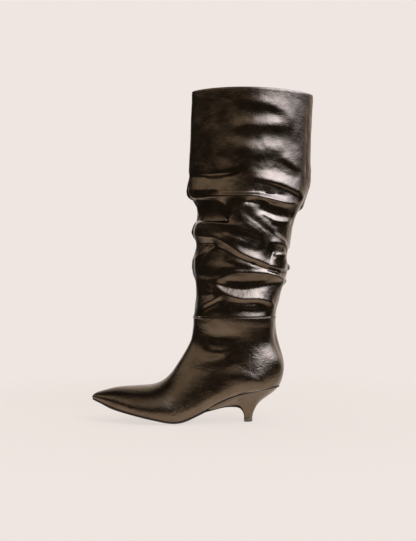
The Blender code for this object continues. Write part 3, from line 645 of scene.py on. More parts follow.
def shaft_plan(rise):
    """Middle, half length and half width of the plain shaft at heights as shares."""
    lean = spline(rise, SHAFT["rise"], SHAFT["lean"])
    spread = spline(rise, SHAFT["rise"], SHAFT["spread"])
    collar_share = spline(rise, SHAFT["rise"], SHAFT["width"])
    seam_half_width = UPPER["outer"][-1] * BALL_WIDTH
    half_width = blend(seam_half_width, collar_share * COLLAR_WIDTH / 2, soft_step(rise / SEAM_REACH))
    seam_length = (UPPER["ridge_run"][-1] - UPPER["run"][-1]) * FOOT_LENGTH
    half_length = blend(seam_length, COLLAR_LENGTH, spread) / 2
    seam_middle = x_at(UPPER["run"][-1]) - seam_length / 2
    collar_middle = HEEL_BACK_X + SHAFT_OVERHANG - COLLAR_LENGTH / 2
    return blend(seam_middle, collar_middle, lean), half_length, half_width


def plan_powers(rise):
    """Exponents of the plan's outline, nearly round at the ankle and an edge front and back at the collar."""
    flattened = soft_step(rise / LENS_REACH)
    return blend(ROUND_POWER, LENS_ALONG, flattened), blend(ROUND_POWER, LENS_ACROSS, flattened)


def shaft_surface(angle, rise, out=0.0, drop=0.0):
    """Points on the shaft at angles in degrees and heights as shares, pushed out and down by the folds."""
    middle, half_length, half_width = shaft_plan(rise)
    turn = np.radians(angle)
    cosine, sine = np.cos(turn), np.sin(turn)
    along_power, across_power = plan_powers(rise)
    along = np.sign(cosine) * np.abs(cosine) ** along_power
    across = np.sign(sine) * np.abs(sine) ** across_power
    x = middle + (half_length + out) * along
    y = -(half_width + out) * across
    z = SHAFT_LOW + rise * SHAFT_RUN + drop
    z = z - COLLAR_TILT * rise**4 * (1 + along) / 2
    return np.stack([x, y, z], axis=-1)


def place_on_sheet(x, z, out, drop, side):
    """Angle and height share of a point of the folded shaft that shows at (x, z) from its side."""
    depth = np.full_like(x, COLLAR_WIDTH / 2)
    for _ in range(PLACING_PASSES):
        closer = (CAMERA_DISTANCE - depth) / CAMERA_DISTANCE if side == "outer" else 1.0
        true_x = CAMERA_X + (x - CAMERA_X) * closer
        true_z = CAMERA_Z + (z - CAMERA_Z) * closer
        rise = np.clip((true_z - drop - SHAFT_LOW) / SHAFT_RUN, 0, 1)
        middle, half_length, half_width = shaft_plan(rise)
        share = np.clip((true_x - middle) / (half_length + out), -1, 1)
        along_power, across_power = plan_powers(rise)
        cosine = np.sign(share) * np.abs(share) ** (1 / along_power)
        turn = np.arccos(cosine)
        depth = (half_width + out) * np.sin(turn) ** across_power
    angle = np.degrees(turn)
    return (angle if side == "outer" else 360 - angle), rise


def blur(field, steps):
    """Softens a field on the sheet, which closes on itself round the leg."""
    for _ in range(steps):
        round_leg = (np.roll(field, 1, 1) + np.roll(field, -1, 1)) / 2
        field = (field + round_leg) / 2
        padded = np.pad(field, ((1, 1), (0, 0)), mode="edge")
        field = (field + (padded[:-2] + padded[2:]) / 2) / 2
    return field


def draw_line(weights, targets, angle, rise, values, strength):
    """Adds a line's samples to the sheet's weights and weighted targets."""
    column = angle / 360 * SHEET_COLUMNS
    row = rise * (SHEET_ROWS - 1)
    first_column, first_row = np.floor(column).astype(int), np.floor(row).astype(int)
    for down in (0, 1):
        for beside in (0, 1):
            share = np.abs(1 - down - (row - first_row)) * np.abs(1 - beside - (column - first_column))
            spot = np.clip(first_row + down, 0, SHEET_ROWS - 1), (first_column + beside) % SHEET_COLUMNS
            np.add.at(weights, spot, share * strength)
            for target, value in zip(targets, values):
                np.add.at(target, spot, share * strength * value)


def line_samples(points, out, drop):
    """A fold line as close points, with its stand-off, its drop and its pull, which fades at both ends."""
    points = np.array(points, float) * MM
    travel = np.concatenate([[0], np.cumsum(np.hypot(*np.diff(points, axis=0).T))])
    count = max(8, int(travel[-1] / SAMPLE_SPACING))
    at = np.linspace(0, travel[-1], count)
    x = spline(at, travel, points[:, 0])
    z = spline(at, travel, points[:, 1])
    share = at / travel[-1]
    out_here = np.interp(share, np.linspace(0, 1, len(out)), out) * MM
    fade = soft_step(share / LINE_FADE) * soft_step((1 - share) / LINE_FADE)
    return x, z, out_here, drop * MM * fade, blend(LINE_END_PULL, 1, fade)


def relax(weights, target):
    """The sheet's stand-off where it is pulled to the lines and otherwise hangs taut between them."""
    cell = SHAFT_RUN / (SHEET_ROWS - 1)
    hold = (cell / FOLD_REACH) ** 2
    diagonal = weights + hold + 4

    def pull(field):
        padded = np.pad(field, ((1, 1), (0, 0)), mode="edge")
        neighbours = padded[:-2] + padded[2:] + np.roll(field, 1, 1) + np.roll(field, -1, 1)
        return diagonal * field - neighbours

    field = np.zeros_like(weights)
    rest = target - pull(field)
    eased = rest / diagonal
    heading = eased.copy()
    size = np.sum(rest * eased)
    for _ in range(SOLVER_STEPS):
        pulled = pull(heading)
        step = size / np.sum(heading * pulled)
        field += step * heading
        rest -= step * pulled
        eased = rest / diagonal
        new_size = np.sum(rest * eased)
        heading = eased + (new_size / size) * heading
        size = new_size
    return field


def edge_samples(edge, angle):
    """How far the shaft's front or back outline stands off the plain shaft, at every row of the sheet."""
    rise = np.linspace(0, 1, SHEET_ROWS)
    middle, half_length, _ = shaft_plan(rise)
    x = np.interp(SHAFT_LOW + rise * SHAFT_RUN, edge["z"] * MM, edge["x"] * MM)
    out = x - middle - half_length if angle == 0 else middle - half_length - x
    return rise, out


def fold_fields():
    """How far the folds push the sheet out and down."""
    totals = np.zeros((3, SHEET_ROWS, SHEET_COLUMNS))
    weights, out_pull, drop_pull = totals
    for side, folds in FOLDS.items():
        for out, drop, soft, points in folds:
            x, z, out_here, drop_here, strength = line_samples(points, out, drop)
            angle, rise = place_on_sheet(x, z, out_here, drop_here, side)
            own = np.zeros_like(totals)
            draw_line(own[0], own[1:], angle, rise, (out_here, drop_here), strength)
            for total, field in zip(totals, own):
                total += LINE_PULL * blur(field, round(soft**2 * BLUR_STEPS))
    for edge, angle in ((FRONT_EDGE, 180), (BACK_EDGE, 0)):
        rise, out_here = edge_samples(edge, angle)
        for aside in range(-OUTLINE_SPREAD, OUTLINE_SPREAD + 1):
            column = np.full(SHEET_ROWS, angle + aside * 360 / SHEET_COLUMNS)
            strength = OUTLINE_PULL * (1 - abs(aside) / (OUTLINE_SPREAD + 1)) ** 2
            draw_line(weights, (out_pull, drop_pull), column, rise, (out_here, 0 * rise), strength)
    weights[[0, 1, -1, -2]] += RIM_PULL
    settle = soft_step(np.linspace(0, 1, SHEET_ROWS) * SHAFT_RUN / SEAM_HOLD)[:, None]
    return [blur(relax(weights, pull), 1) * settle for pull in (out_pull, drop_pull)]


def wobble(seed, columns, rows):
    """Smooth noise on the sheet, between about -1 and 1, that closes round the leg."""
    source = np.random.default_rng(seed).normal(size=(rows + 3, columns))
    row = np.linspace(0, rows, SHEET_ROWS)
    column = np.arange(SHEET_COLUMNS) * columns / SHEET_COLUMNS
    result = np.zeros((SHEET_ROWS, SHEET_COLUMNS))
    row_cell, column_cell = np.floor(row).astype(int), np.floor(column).astype(int)
    row_share, column_share = soft_step(row - row_cell), soft_step(column - column_cell)
    for down in (0, 1):
        for beside in (0, 1):
            row_weight = row_share if down else 1 - row_share
            column_weight = column_share if beside else 1 - column_share
            picked = source[np.ix_((row_cell + down) % (rows + 3), (column_cell + beside) % columns)]
            result += picked * np.outer(row_weight, column_weight)
    return result


def shaft_sheet():
    """The outside of the folded shaft as a grid of points."""
    out, drop = fold_fields()
    rise = np.linspace(0, 1, SHEET_ROWS)
    calm = soft_step(rise * SHAFT_RUN / SEAM_CALM) * soft_step((1 - rise) * SHAFT_RUN / COLLAR_CALM)
    small = sum(height * wobble(*shape) for height, *shape in WAVES)
    out = out + small * MM * calm[:, None]
    angle = np.arange(SHEET_COLUMNS) * 360 / SHEET_COLUMNS
    rise_grid, angle_grid = np.meshgrid(rise, angle, indexing="ij")
    return shaft_surface(angle_grid, rise_grid, out, drop)


SOFTENING_STEPS = 30


def soften(sheet):
    """The sheet without its small folds."""
    return np.stack([blur(sheet[..., axis], SOFTENING_STEPS) for axis in range(3)], axis=-1)


# The leather has every row of the sheet up to DENSE_ROWS_TOP, then one in ROW_SKIP, and every other at the
# collar
DENSE_ROWS_TOP = 190
COLLAR_ROWS = 12
ROW_SKIP = 4
INNER_SKIP = 14
COLLAR_ROLL = 1.1 * MM
COLLAR_ROLL_LIFT = 0.8


def build_shaft(sheet, leather):
    """The leg as one wall: folded outside, rolled collar edge and smooth inside."""
    top = len(sheet) - 1
    rows = list(range(DENSE_ROWS_TOP)) + list(range(DENSE_ROWS_TOP, top - COLLAR_ROWS, ROW_SKIP))
    rows += list(range(top - COLLAR_ROWS, top + 1, 2))
    out = flat_unit(outward_normals(sheet)[top])
    rim = []
    for turn in map(math.radians, (45, 90, 135)):
        lift = COLLAR_ROLL * math.sin(turn) * COLLAR_ROLL_LIFT
        inward = COLLAR_ROLL * (1 - math.cos(turn))
        rim.append(sheet[top] - out * inward + [0, 0, lift])
    in_rows = list(range(top - 3, 0, -INNER_SKIP)) + [0]
    inside = sheet[in_rows] - 2 * COLLAR_ROLL * flat_unit(outward_normals(soften(sheet))[in_rows])
    rings = np.concatenate([sheet[rows], np.array(rim), inside])
    return closed_wall("shaft_leather", rings, leather, "bronze_leather", "shaft")


LINING_DROP = 9 * MM
LINING_DEPTH = 2.6 * MM
LINING_THICKNESS = 0.5 * MM
LINING_ROW_SKIP = 6
LINING_COLUMN_SKIP = 2


def build_lining(sheet, lining):
    """The textile lining of the leg, from under the collar's facing down to the ankle."""
    sheet = soften(sheet)
    inward = flat_unit(-outward_normals(sheet))
    top = round((1 - LINING_DROP / SHAFT_RUN) * (len(sheet) - 1))
    rows = list(range(2, top, LINING_ROW_SKIP)) + [top]
    outer, inner = (
        (sheet + inward * depth)[rows][:, ::LINING_COLUMN_SKIP]
        for depth in (LINING_DEPTH, LINING_DEPTH + LINING_THICKNESS)
    )
    return closed_wall("shaft_lining", np.concatenate([outer, inner[::-1]]), lining, "sock_lining")


STITCH_PITCH = 3.3 * MM
STITCH_LENGTH = 2.3 * MM
STITCH_RADIUS = 0.32 * MM
STITCH_DROP = 4.2 * MM
STITCH_SIDES = 6
STITCH_PROUD = 0.35

# A stitch's shape: share of the way along it and share of its radius
STITCH_ENDS = ((0.0, 0.0), (0.12, 0.75), (0.3, 1.0), (0.7, 1.0), (0.88, 0.75), (1.0, 0.0))


def build_stitching(sheet, thread):
    """A row of topstitching under the collar edge, each stitch a small round bar half sunk in the leather."""
    row = (1 - STITCH_DROP / SHAFT_RUN) * (len(sheet) - 1)
    low = int(row)
    ring = blend(sheet[low], sheet[low + 1], row - low)
    ring = np.concatenate([ring, ring[:1]])
    travel = np.concatenate([[0], np.cumsum(np.linalg.norm(np.diff(ring, axis=0), axis=1))])
    count = int(travel[-1] / STITCH_PITCH)
    turn = np.arange(STITCH_SIDES) * 2 * math.pi / STITCH_SIDES
    vertices, faces = [], []
    for start in np.arange(count) * travel[-1] / count:
        ends = [
            np.array([np.interp(at % travel[-1], travel, ring[:, axis]) for axis in range(3)])
            for at in (start, start + STITCH_LENGTH)
        ]
        way = unit(ends[1] - ends[0])
        out = flat_unit(np.cross(way, [0, 0, 1.0]))
        if np.dot(out, ends[0] - ring.mean(axis=0)) < 0:
            out = -out
        up = np.cross(way, out)
        first = len(vertices)
        for along, size in STITCH_ENDS:
            middle = blend(ends[0], ends[1], along) + out * STITCH_RADIUS * STITCH_PROUD
            if size == 0:
                vertices.append(middle)
            else:
                radius = STITCH_RADIUS * size
                vertices += [middle + radius * (out * math.cos(a) + up * math.sin(a)) for a in turn]
        for level in range(3):
            a = first + 1 + level * STITCH_SIDES
            for i in range(STITCH_SIDES):
                j = (i + 1) % STITCH_SIDES
                faces.append((a + i, a + j, a + j + STITCH_SIDES, a + i + STITCH_SIDES))
        end = len(vertices) - 1
        for i in range(STITCH_SIDES):
            j = (i + 1) % STITCH_SIDES
            faces.append((first, first + 1 + j, first + 1 + i))
            faces.append((end, end - STITCH_SIDES + i, end - STITCH_SIDES + j))
    return new_piece("collar_stitching", vertices, faces, thread, "bronze_leather")


# The foot


LOWER_POWER = 2.2
UPPER_POWER = 1.9
SECTION_SAMPLES = 90


def half_section(width, foot, widest):
    """Points (share of the way up, half width) from the feather over the widest place to the ridge."""
    filled = min(foot / width, 0.999)
    reach = widest / (1 - filled**LOWER_POWER) ** (1 / LOWER_POWER)
    start = math.asin(min(1.0, widest / reach))
    lower_angle = np.linspace(start, 0, SECTION_SAMPLES)
    angle = np.linspace(0, math.pi / 2, SECTION_SAMPLES)
    low_up = widest - reach * np.sin(lower_angle)
    low_out = width * np.maximum(1 - np.sin(lower_angle) ** LOWER_POWER, 0) ** (1 / LOWER_POWER)
    high_up = widest + (1 - widest) * np.sin(angle)
    high_out = width * np.maximum(1 - np.sin(angle) ** UPPER_POWER, 0) ** (1 / UPPER_POWER)
    return np.concatenate([low_up, high_up[1:]]), np.concatenate([low_out, high_out[1:]])


def even_steps(up, out, length, steps):
    """The same curve read at even distances along itself."""
    travel = np.concatenate([[0], np.cumsum(np.hypot(np.diff(up) * length, np.diff(out)))])
    marks = np.linspace(0, travel[-1], steps + 1)
    return np.interp(marks, travel, up), np.interp(marks, travel, out)


UPPER_STEPS = 9
UPPER_SIDE_STEPS = 80
LEAST_BULGE = 1.004
LEAST_WIDTH = 1e-5


def upper_outside():
    """The upper's outside, in rows from the toe to the ankle and columns from its outer to its inner edge."""
    last = len(UPPER["run"]) - 1
    rows = np.linspace(0, last, last * UPPER_STEPS + 1)
    columns = {name: read_rows(rows, UPPER, name) for name in UPPER}
    top_rim = SEAM_Z - HALF_SEAM_SPACE
    feather = feather_z(columns["run"])
    feet = {side: outline(columns["run"], side) for side in ("outer", "inner")}
    grid = []
    for i, row in enumerate(rows):
        run, back, ridge_run, ridge_rise, widest = (
            columns[name][i] for name in ("run", "back", "ridge_run", "ridge_rise", "widest")
        )
        is_open = row < FIRST_BACK_SECTION
        low_z = feather[i] if is_open else HEEL_HEIGHT + max(back, 0) * (top_rim - HEEL_HEIGHT)
        low = np.array([x_at(run), low_z])
        ridge = np.array([x_at(ridge_run), blend(low_z, top_rim, ridge_rise)])
        length = float(np.hypot(*(ridge - low)))
        sides = []
        for side, sign in (("outer", -1), ("inner", 1)):
            foot = feet[side][i] if is_open else 0.0
            width = max(columns[side][i] * BALL_WIDTH, foot * LEAST_BULGE, LEAST_WIDTH)
            up, out = half_section(width, foot, widest)
            up, out = even_steps(up, out, length, UPPER_SIDE_STEPS)
            spot = low + np.outer(up, ridge - low)
            sides.append(np.column_stack([spot[:, 0], sign * out, spot[:, 1]]))
        grid.append(np.vstack([sides[0], sides[1][-2::-1]]))
    return np.array(grid), FIRST_BACK_SECTION * UPPER_STEPS


# Soft ridges and dents of the foot's leather on its outer (-1) or inner (1) side, in millimetres: the line
# from (x1, z1) over (x2, z2) to (x3, z3), half its width and how far it stands out
FOOT_FOLDS = table(
    "side x1   z1     x2     z2     x3     z3    half   height",
    [
        (-1, 5, 128, 30, 131, 62, 129, 5.0, 0.55),
        (-1, 0, 119, 28, 118, 58, 121, 6.0, -0.6),
        (-1, -4, 110, 22, 108, 50, 111, 6.0, 0.8),
        (-1, -8, 99, 18, 96, 40, 101, 6.0, -0.8),
        (-1, -6, 86, 24, 89, 52, 104, 6.5, 0.9),
        (-1, 20, 72, 46, 84, 78, 106, 7.5, -0.7),
        (-1, -22, 80, -6, 74, 14, 72, 7.0, -0.6),
        (-1, 70, 92, 84, 78, 96, 70, 12.0, 0.5),
        (-1, 60, 116, 78, 119, 96, 116, 6.0, 0.4),
        (-1, -5, 122, 58, 113, 175, 103, 22.0, -3.8),
        (-1, 24, 66, 62, 62, 98, 58, 15.0, 2.6),
        (1, -5, 118, 48, 119, 98, 117, 22.0, -2.2),
        (1, 30, 68, 62, 66, 98, 64, 15.0, 1.0),
        (1, 0, 126, 30, 122, 66, 126, 5.5, 0.6),
        (1, 0, 113, 30, 111, 60, 116, 6.0, -0.6),
        (1, 10, 98, 36, 101, 66, 108, 6.5, 0.6),
        (1, 22, 84, 48, 90, 80, 100, 7.5, -0.6),
    ],
)
FOOT_FOLD_FADE = 0.35
FOOT_FOLD_MARKS = 9
RIDGE_CALM = 12 * MM

# The fan is where the sections turn from the feather line up the back of the heel
FAN_REACH = 1.7
FAN_STEEPNESS = 1.5
FAN_STEPS = 40
FEATHER_COLUMNS = 6


def ease_fan(grid, middle_row):
    """Softens the crease in the fan's middle."""
    rows, columns = grid.shape[:2]
    away = np.abs(np.arange(rows) - middle_row) / (FAN_REACH * UPPER_STEPS)
    along = soft_step(FAN_STEEPNESS * (1 - away))
    place = np.arange(columns)
    across = soft_step(np.minimum(place, columns - 1 - place) / FEATHER_COLUMNS)
    share = np.outer(along, across)[1:-1, :, None]
    for _ in range(FAN_STEPS):
        even_out(grid, share)


def distance_to_path(x, z, points):
    """Distance from each place to a bent line, and the share of the way along it."""
    best = np.full(x.shape, 1e9)
    share = np.zeros(x.shape)
    count = len(points) - 1
    for i in range(count):
        start = points[i]
        way = points[i + 1] - start
        along = np.clip(((x - start[0]) * way[0] + (z - start[1]) * way[1]) / np.dot(way, way), 0, 1)
        gap = np.hypot(x - start[0] - along * way[0], z - start[1] - along * way[1])
        nearer = gap < best
        best = np.where(nearer, gap, best)
        share = np.where(nearer, (i + along) / count, share)
    return best, share


def foot_push(grid):
    """How far the foot's small folds push its leather out."""
    x, y, z = np.moveaxis(grid, -1, 0)
    push = np.zeros(x.shape)
    for fold in rows_of(FOOT_FOLDS):
        knots = np.array([[fold[f"x{k}"], fold[f"z{k}"]] for k in (1, 2, 3)]) * MM
        marks = np.linspace(0, 2, FOOT_FOLD_MARKS)
        path = np.column_stack([spline(marks, np.arange(3), knots[:, axis]) for axis in (0, 1)])
        gap, share = distance_to_path(x, z, path)
        fade = soft_step(share / FOOT_FOLD_FADE) * soft_step((1 - share) / FOOT_FOLD_FADE)
        bump = np.exp(-((gap / (fold["half"] * MM)) ** 2)) * fade
        on_side = soft_step((y * fold["side"]) / RIDGE_CALM)
        push += bump * on_side * fold["height"] * MM
    return push * soft_step((SEAM_Z - HALF_SEAM_SPACE - z) / SEAM_CALM)


def upper_inside(outside, normals, open_rows):
    """The inside of the upper's wall, with rims on the sole and at the ankle seam."""
    inside = outside - WALL * normals
    for column in (0, -1):
        rim = outside[: open_rows + 1, column] - WALL * flat_unit(normals[: open_rows + 1, column])
        rim[:, 2] = bottom_z(rim[:, 0], rim[:, 1])
        inside[: open_rows + 1, column] = rim
    inside[-1] = outside[-1] - WALL * flat_unit(normals[-1])
    inside[0] = outside[0] + [TOE_INSET_RATIO * WALL, 0, 0]
    return inside


def build_upper(leather):
    """The foot as one wall, open underneath and at the ankle."""
    outside, open_rows = upper_outside()
    ease_fan(outside, open_rows)
    normals = grid_normals(outside, closed=False)
    shared = unit(normals[open_rows:, 0] + normals[open_rows:, -1])
    normals[open_rows:, 0] = shared
    normals[open_rows:, -1] = shared
    half = len(outside) // 2
    if np.dot(normals[half, 0], outside[half, 0] - outside[half].mean(axis=0)) < 0:
        normals = -normals
    pushed = outside + normals * foot_push(outside)[..., None]
    inside = upper_inside(pushed, normals, open_rows)
    number = np.arange(pushed[..., 0].size).reshape(pushed.shape[:2])
    edges = [number[: open_rows + 1, 0].tolist(), number[: open_rows + 1, -1].tolist(), number[-1].tolist()]
    return double_wall("foot_leather", pushed, inside, edges, leather, "bronze_leather", "upper", sharp=60)


SOLE_STEPS = 24
SOLE_STATIONS = 140
FLAP_STATIONS = 90
FLAP_START = 0.5


def slab(name, tops, bottoms, *looks):
    """A closed plate between two grids of points."""
    number = np.arange(tops[..., 0].size).reshape(tops.shape[:2])
    edges = [edge.tolist() for edge in (number[:, 0], number[:, -1], number[0], number[-1])]
    return double_wall(name, tops, bottoms, edges, *looks, sharp=40)


def across(outer, inner):
    """Places from the outer edge to the inner edge, at two half widths."""
    share = np.linspace(-1, 1, SOLE_STEPS + 1)
    return np.where(share < 0, share * outer, share * inner)


def across_foot(run, inset):
    """Places across the foot at one station."""
    return across(outline(run, "outer", inset), outline(run, "inner", inset))


def row_of_points(x, y, z):
    """A row of points, where a single x or z goes for all of them."""
    return np.stack(np.broadcast_arrays(x, y, z), axis=-1)


def breast_path(rows, out=0.0):
    """Points (x, z) on the heel's front line, moved into the heel by `out`."""
    rows = np.atleast_1d(np.asarray(rows, float))
    step = 0.01

    def spot(at):
        rise = read_rows(at, BREAST, "rise")
        return np.column_stack([x_at(read_rows(at, BREAST, "run")), blend(TIP_Z, HEEL_HEIGHT, rise)])

    ahead = spot(np.minimum(rows + step, len(BREAST["run"]) - 1)) - spot(np.maximum(rows - step, 0))
    normal = unit(np.column_stack([-ahead[:, 1], ahead[:, 0]]))
    return spot(rows) + normal * out


def build_outsole(sole):
    """The sole from the toe to the split, then the flap down the heel's front to the top piece."""
    tops, bottoms = [], []
    toe_end = 1 - TOE_INSET_RATIO * SOLE_INSET / FOOT_LENGTH
    for run in np.linspace(toe_end, SPLIT_RUN + STATION_MARGIN, SOLE_STATIONS):
        y = across_foot(run, SOLE_INSET)
        x = np.full(len(y), float(x_at(run)))
        tops.append(row_of_points(x, y, bottom_z(x, y) - GAP))
        tread = bottom_z(x, y, TREAD_CROWN) - GAP - SOLE_THICKNESS
        bottoms.append(row_of_points(x, y, np.maximum(tread, 0)))
    for row in np.linspace(FLAP_START, len(BREAST["run"]) - 1, FLAP_STATIONS):
        outer, inner = (read_rows(row, BREAST, side) * BALL_WIDTH for side in ("outer", "inner"))
        y = across(outer, inner)
        for grid, depth in ((bottoms, 0.0), (tops, FLAP_THICKNESS)):
            x, z = breast_path(row, depth)[0]
            grid.append(row_of_points(x, y, z))
    return slab("sole", np.array(tops), np.array(bottoms), sole, "sole_leather", "outsole")


def build_insole(lining):
    """The sock on the insole board, thinner towards its edge."""
    inset = WALL + INSOLE_CLEARANCE
    start = HEEL_END + inset / FOOT_LENGTH
    end = 1 - TOE_INSET_RATIO * inset / FOOT_LENGTH - INSOLE_TOE_GAP
    tops, bottoms = [], []
    for run in np.linspace(end, start, SOLE_STATIONS):
        y = across_foot(run, inset)
        x = np.full(len(y), float(x_at(run)))
        bottom = bottom_z(x, y)
        crown = INSOLE_THICKNESS * blend(INSOLE_EDGE, 1, np.sqrt(1 - np.linspace(-1, 1, len(y)) ** 2))
        bottoms.append(row_of_points(x, y, bottom))
        tops.append(row_of_points(x, y, bottom + crown))
    return slab("insole_sock", np.array(tops), np.array(bottoms), lining, "sock_lining", "insole")


HEEL_STATIONS = 60
HEEL_STEPS = 7
HEEL_EASE_STEPS = 120
HEEL_CALM_FRONT = 10
HEEL_CALM_BACK = 14
FLAP_SINK = 0.2 * MM


def heel_ring(front, back, seat_runs, width, bow, tip, grow=0.0):
    """One level of the heel: two sides from the flat front to the round back, as (outer, inner) points."""
    share = (seat_runs[0] - seat_runs) / (seat_runs[0] - seat_runs[-1])
    seat = feather_z(seat_runs)
    seat_bow = seat - blend(seat[0], seat[-1], share)
    x = blend(front[0], back[0], share)
    z = blend(front[1], back[1], share) + seat_bow * bow
    tip_half = (TIP_WIDTH / 2 + grow) * np.sqrt(1 - np.clip((share - TIP_FLAT) / (1 - TIP_FLAT), 0, 1) ** 2)
    outer = blend(outline(seat_runs, "outer") * width, tip_half, tip)
    inner = blend(outline(seat_runs, "inner") * width, tip_half, tip)
    return row_of_points(x, -outer, z), row_of_points(x, inner, z)


def block(name, levels, material, slot, node):
    """A closed solid from levels that each have an outer and an inner side of paired points."""
    steps = len(levels[0][0])
    vertices = np.vstack([np.vstack([outer, inner]) for outer, inner in levels])
    width = 2 * steps
    faces = []
    for level in range(len(levels) - 1):
        here, there = level * width, (level + 1) * width
        for start in (0, steps):
            chain = list(range(start, start + steps))
            faces += strip([here + i for i in chain], [there + i for i in chain])
        faces.append((here, here + steps, there + steps, there))
    for start in (0, (len(levels) - 1) * width):
        outer = list(range(start, start + steps))
        faces += strip(outer, [i + steps for i in outer])
    return new_piece(name, vertices, faces, material, slot, node, sharp=50)


def seat_runs():
    """Stations of the heel seat, closer together at its round back end."""
    share = np.sin(np.linspace(0, math.pi / 2, HEEL_STATIONS))
    return blend(SPLIT_RUN - 4 * STATION_MARGIN, HEEL_END, share)


def build_heel(leather):
    """The covered heel from its seat down to the top piece."""
    runs = seat_runs()
    seat = feather_z(runs) - GAP
    start = {"breast": 0.0, "back_run": HEEL_END, "back_rise": 1.0, "width": 1.0, "bow": 1.0, "tip": 0.0}
    knots = {name: np.concatenate([[start[name]], HEEL_LEVELS[name]]) for name in start}
    count = len(knots["breast"])
    first_front = np.array([x_at(runs[0]), seat[0]])
    levels = [heel_ring(first_front, (x_at(runs[-1]), seat[-1]), runs, 1.0, 1.0, 0.0)]
    for at in np.linspace(0, count - 1, (count - 1) * HEEL_STEPS + 1)[1:]:
        value = {name: float(spline(at, np.arange(count), knots[name])) for name in knots}
        front = breast_path(value["breast"], FLAP_THICKNESS - FLAP_SINK)[0]
        front = blend(first_front, front, min(1.0, at))
        back = (x_at(value["back_run"]), blend(TIP_Z, HEEL_HEIGHT, value["back_rise"]))
        levels.append(heel_ring(front, back, runs, value["width"], value["bow"], np.clip(value["tip"], 0, 1)))
    levels = np.array(levels)
    station = np.arange(HEEL_STATIONS)
    calm = soft_step(station / HEEL_CALM_FRONT) * soft_step((HEEL_STATIONS - 1 - station) / HEEL_CALM_BACK)
    half_width = levels[..., 1]
    for _ in range(HEEL_EASE_STEPS):
        even_out(half_width, calm)
        even_out(half_width[1:-1], calm[1:-1, None, None], axis=2)
    return block("heel_leather", levels, leather, "bronze_leather", "heel")


TOP_PIECE_ROUNDING = 0.4 * MM


def build_top_piece(rubber):
    """The hard piece under the heel's tip, a little wider than the tip and rounded at its edges."""
    runs = seat_runs()
    front_x = float(breast_path(len(BREAST["run"]) - 1)[0, 0]) - TOP_PIECE_RIM
    back_x = float(x_at(HEEL_LEVELS["back_run"][-1])) + TOP_PIECE_RIM / 2
    levels = []
    rounding, height = TOP_PIECE_ROUNDING, TOP_PIECE_HEIGHT
    for z, draw in ((0, rounding), (rounding, 0), (height - rounding, 0), (height, rounding)):
        grow = TOP_PIECE_RIM - draw
        levels.append(heel_ring((front_x + draw, z), (back_x - draw, z), runs, 0.0, 0.0, 1.0, grow))
    return block("heel_top_piece", levels, rubber, "top_piece_rubber", "top_piece")


PIPING_COLUMNS = 360
PIPING_SIDES = 12


def tube(name, path, radii, sides, *looks, closed=True):
    """A round cord along a path, joined to itself or capped at both ends."""
    if closed:
        ahead = unit(np.roll(path, -1, axis=0) - np.roll(path, 1, axis=0))
    else:
        ahead = unit(np.gradient(path, axis=0))
    outward = unit(np.cross(ahead, [0, 0, 1.0]))
    upward = unit(np.cross(outward, ahead))
    turn = np.arange(sides) * 2 * math.pi / sides
    rings = [path + radii[:, None] * (outward * math.cos(a) + upward * math.sin(a)) for a in turn]
    vertices = np.stack(rings, axis=1)
    if closed:
        vertices = np.concatenate([vertices, vertices[:1]])
    faces = grid_faces(len(vertices), sides, closed=True)
    if not closed:
        faces += [tuple(range(sides)), tuple(range((len(vertices) - 1) * sides, len(vertices) * sides))]
    return new_piece(name, vertices.reshape(-1, 3), faces, *looks, smallest=1e-6)


def build_piping(leather):
    """The cord in the ankle seam, which stands a little proud of the wall."""
    angle = np.arange(PIPING_COLUMNS) * 360 / PIPING_COLUMNS
    path = shaft_surface(angle, np.zeros(PIPING_COLUMNS))
    path[:, 2] = SEAM_Z
    radius = PIPING_DIAMETER / 2
    path = path + flat_unit(path - path.mean(axis=0)) * (PIPING_PROUD - radius)
    radii = np.full(PIPING_COLUMNS, radius)
    return tube("ankle_piping", path, radii, PIPING_SIDES, leather, "bronze_leather", "seam_piping")


JOINT_RADIUS = 0.95 * MM
JOINT_STEPS = 90
JOINT_SIDES = 8
JOINT_TAPER = 8
JOINT_TIP_RADIUS = 0.1 * MM


def build_seat_joint_shade(dark):
    """A near-black cord along the gap where the upper sits on the covered heel, round both sides and the
    back: painted shade of that gap.
    """
    runs = blend(SPLIT_RUN - STATION_MARGIN, HEEL_END, np.sin(np.linspace(0, math.pi / 2, JOINT_STEPS)))
    z = feather_z(runs) - GAP / 2
    outer = row_of_points(x_at(runs), -outline(runs, "outer"), z)
    inner = row_of_points(x_at(runs), outline(runs, "inner"), z)
    path = np.vstack([outer, inner[-2::-1]])
    place = np.arange(len(path))
    radii = JOINT_RADIUS * soft_step(np.minimum(place, place[::-1]) / JOINT_TAPER)
    radii = np.maximum(radii, JOINT_TIP_RADIUS)
    return tube("heel_seat_joint_shade", path, radii, JOINT_SIDES, dark, "sole_leather", closed=False)


# Materials

BRONZE_DARK = (0.132, 0.091, 0.056)
BRONZE_LIGHT = (0.200, 0.142, 0.089)


def add_node(tree, kind, inputs=None, **settings):
    """A node with its settings, and its inputs set to a value or linked to another node's output."""
    node = tree.nodes.new(kind)
    for name, value in settings.items():
        setattr(node, name, value)
    for name, value in (inputs or {}).items():
        if isinstance(value, bpy.types.NodeSocket):
            tree.links.new(value, node.inputs[name])
        else:
            node.inputs[name].default_value = value
    return node


def new_material(name, colour, roughness, metallic=0.0):
    material = bpy.data.materials.new(name)
    material.use_nodes = True
    shader = material.node_tree.nodes["Principled BSDF"]
    shader.inputs["Base Color"].default_value = (*colour, 1)
    shader.inputs["Roughness"].default_value = roughness
    shader.inputs["Metallic"].default_value = metallic
    return material, material.node_tree, shader


def noise(tree, place, scale, detail, roughness, distortion=0.0):
    inputs = {"Vector": place, "Scale": scale, "Detail": detail}
    inputs |= {"Roughness": roughness, "Distortion": distortion}
    return add_node(tree, "ShaderNodeTexNoise", inputs).outputs["Fac"]


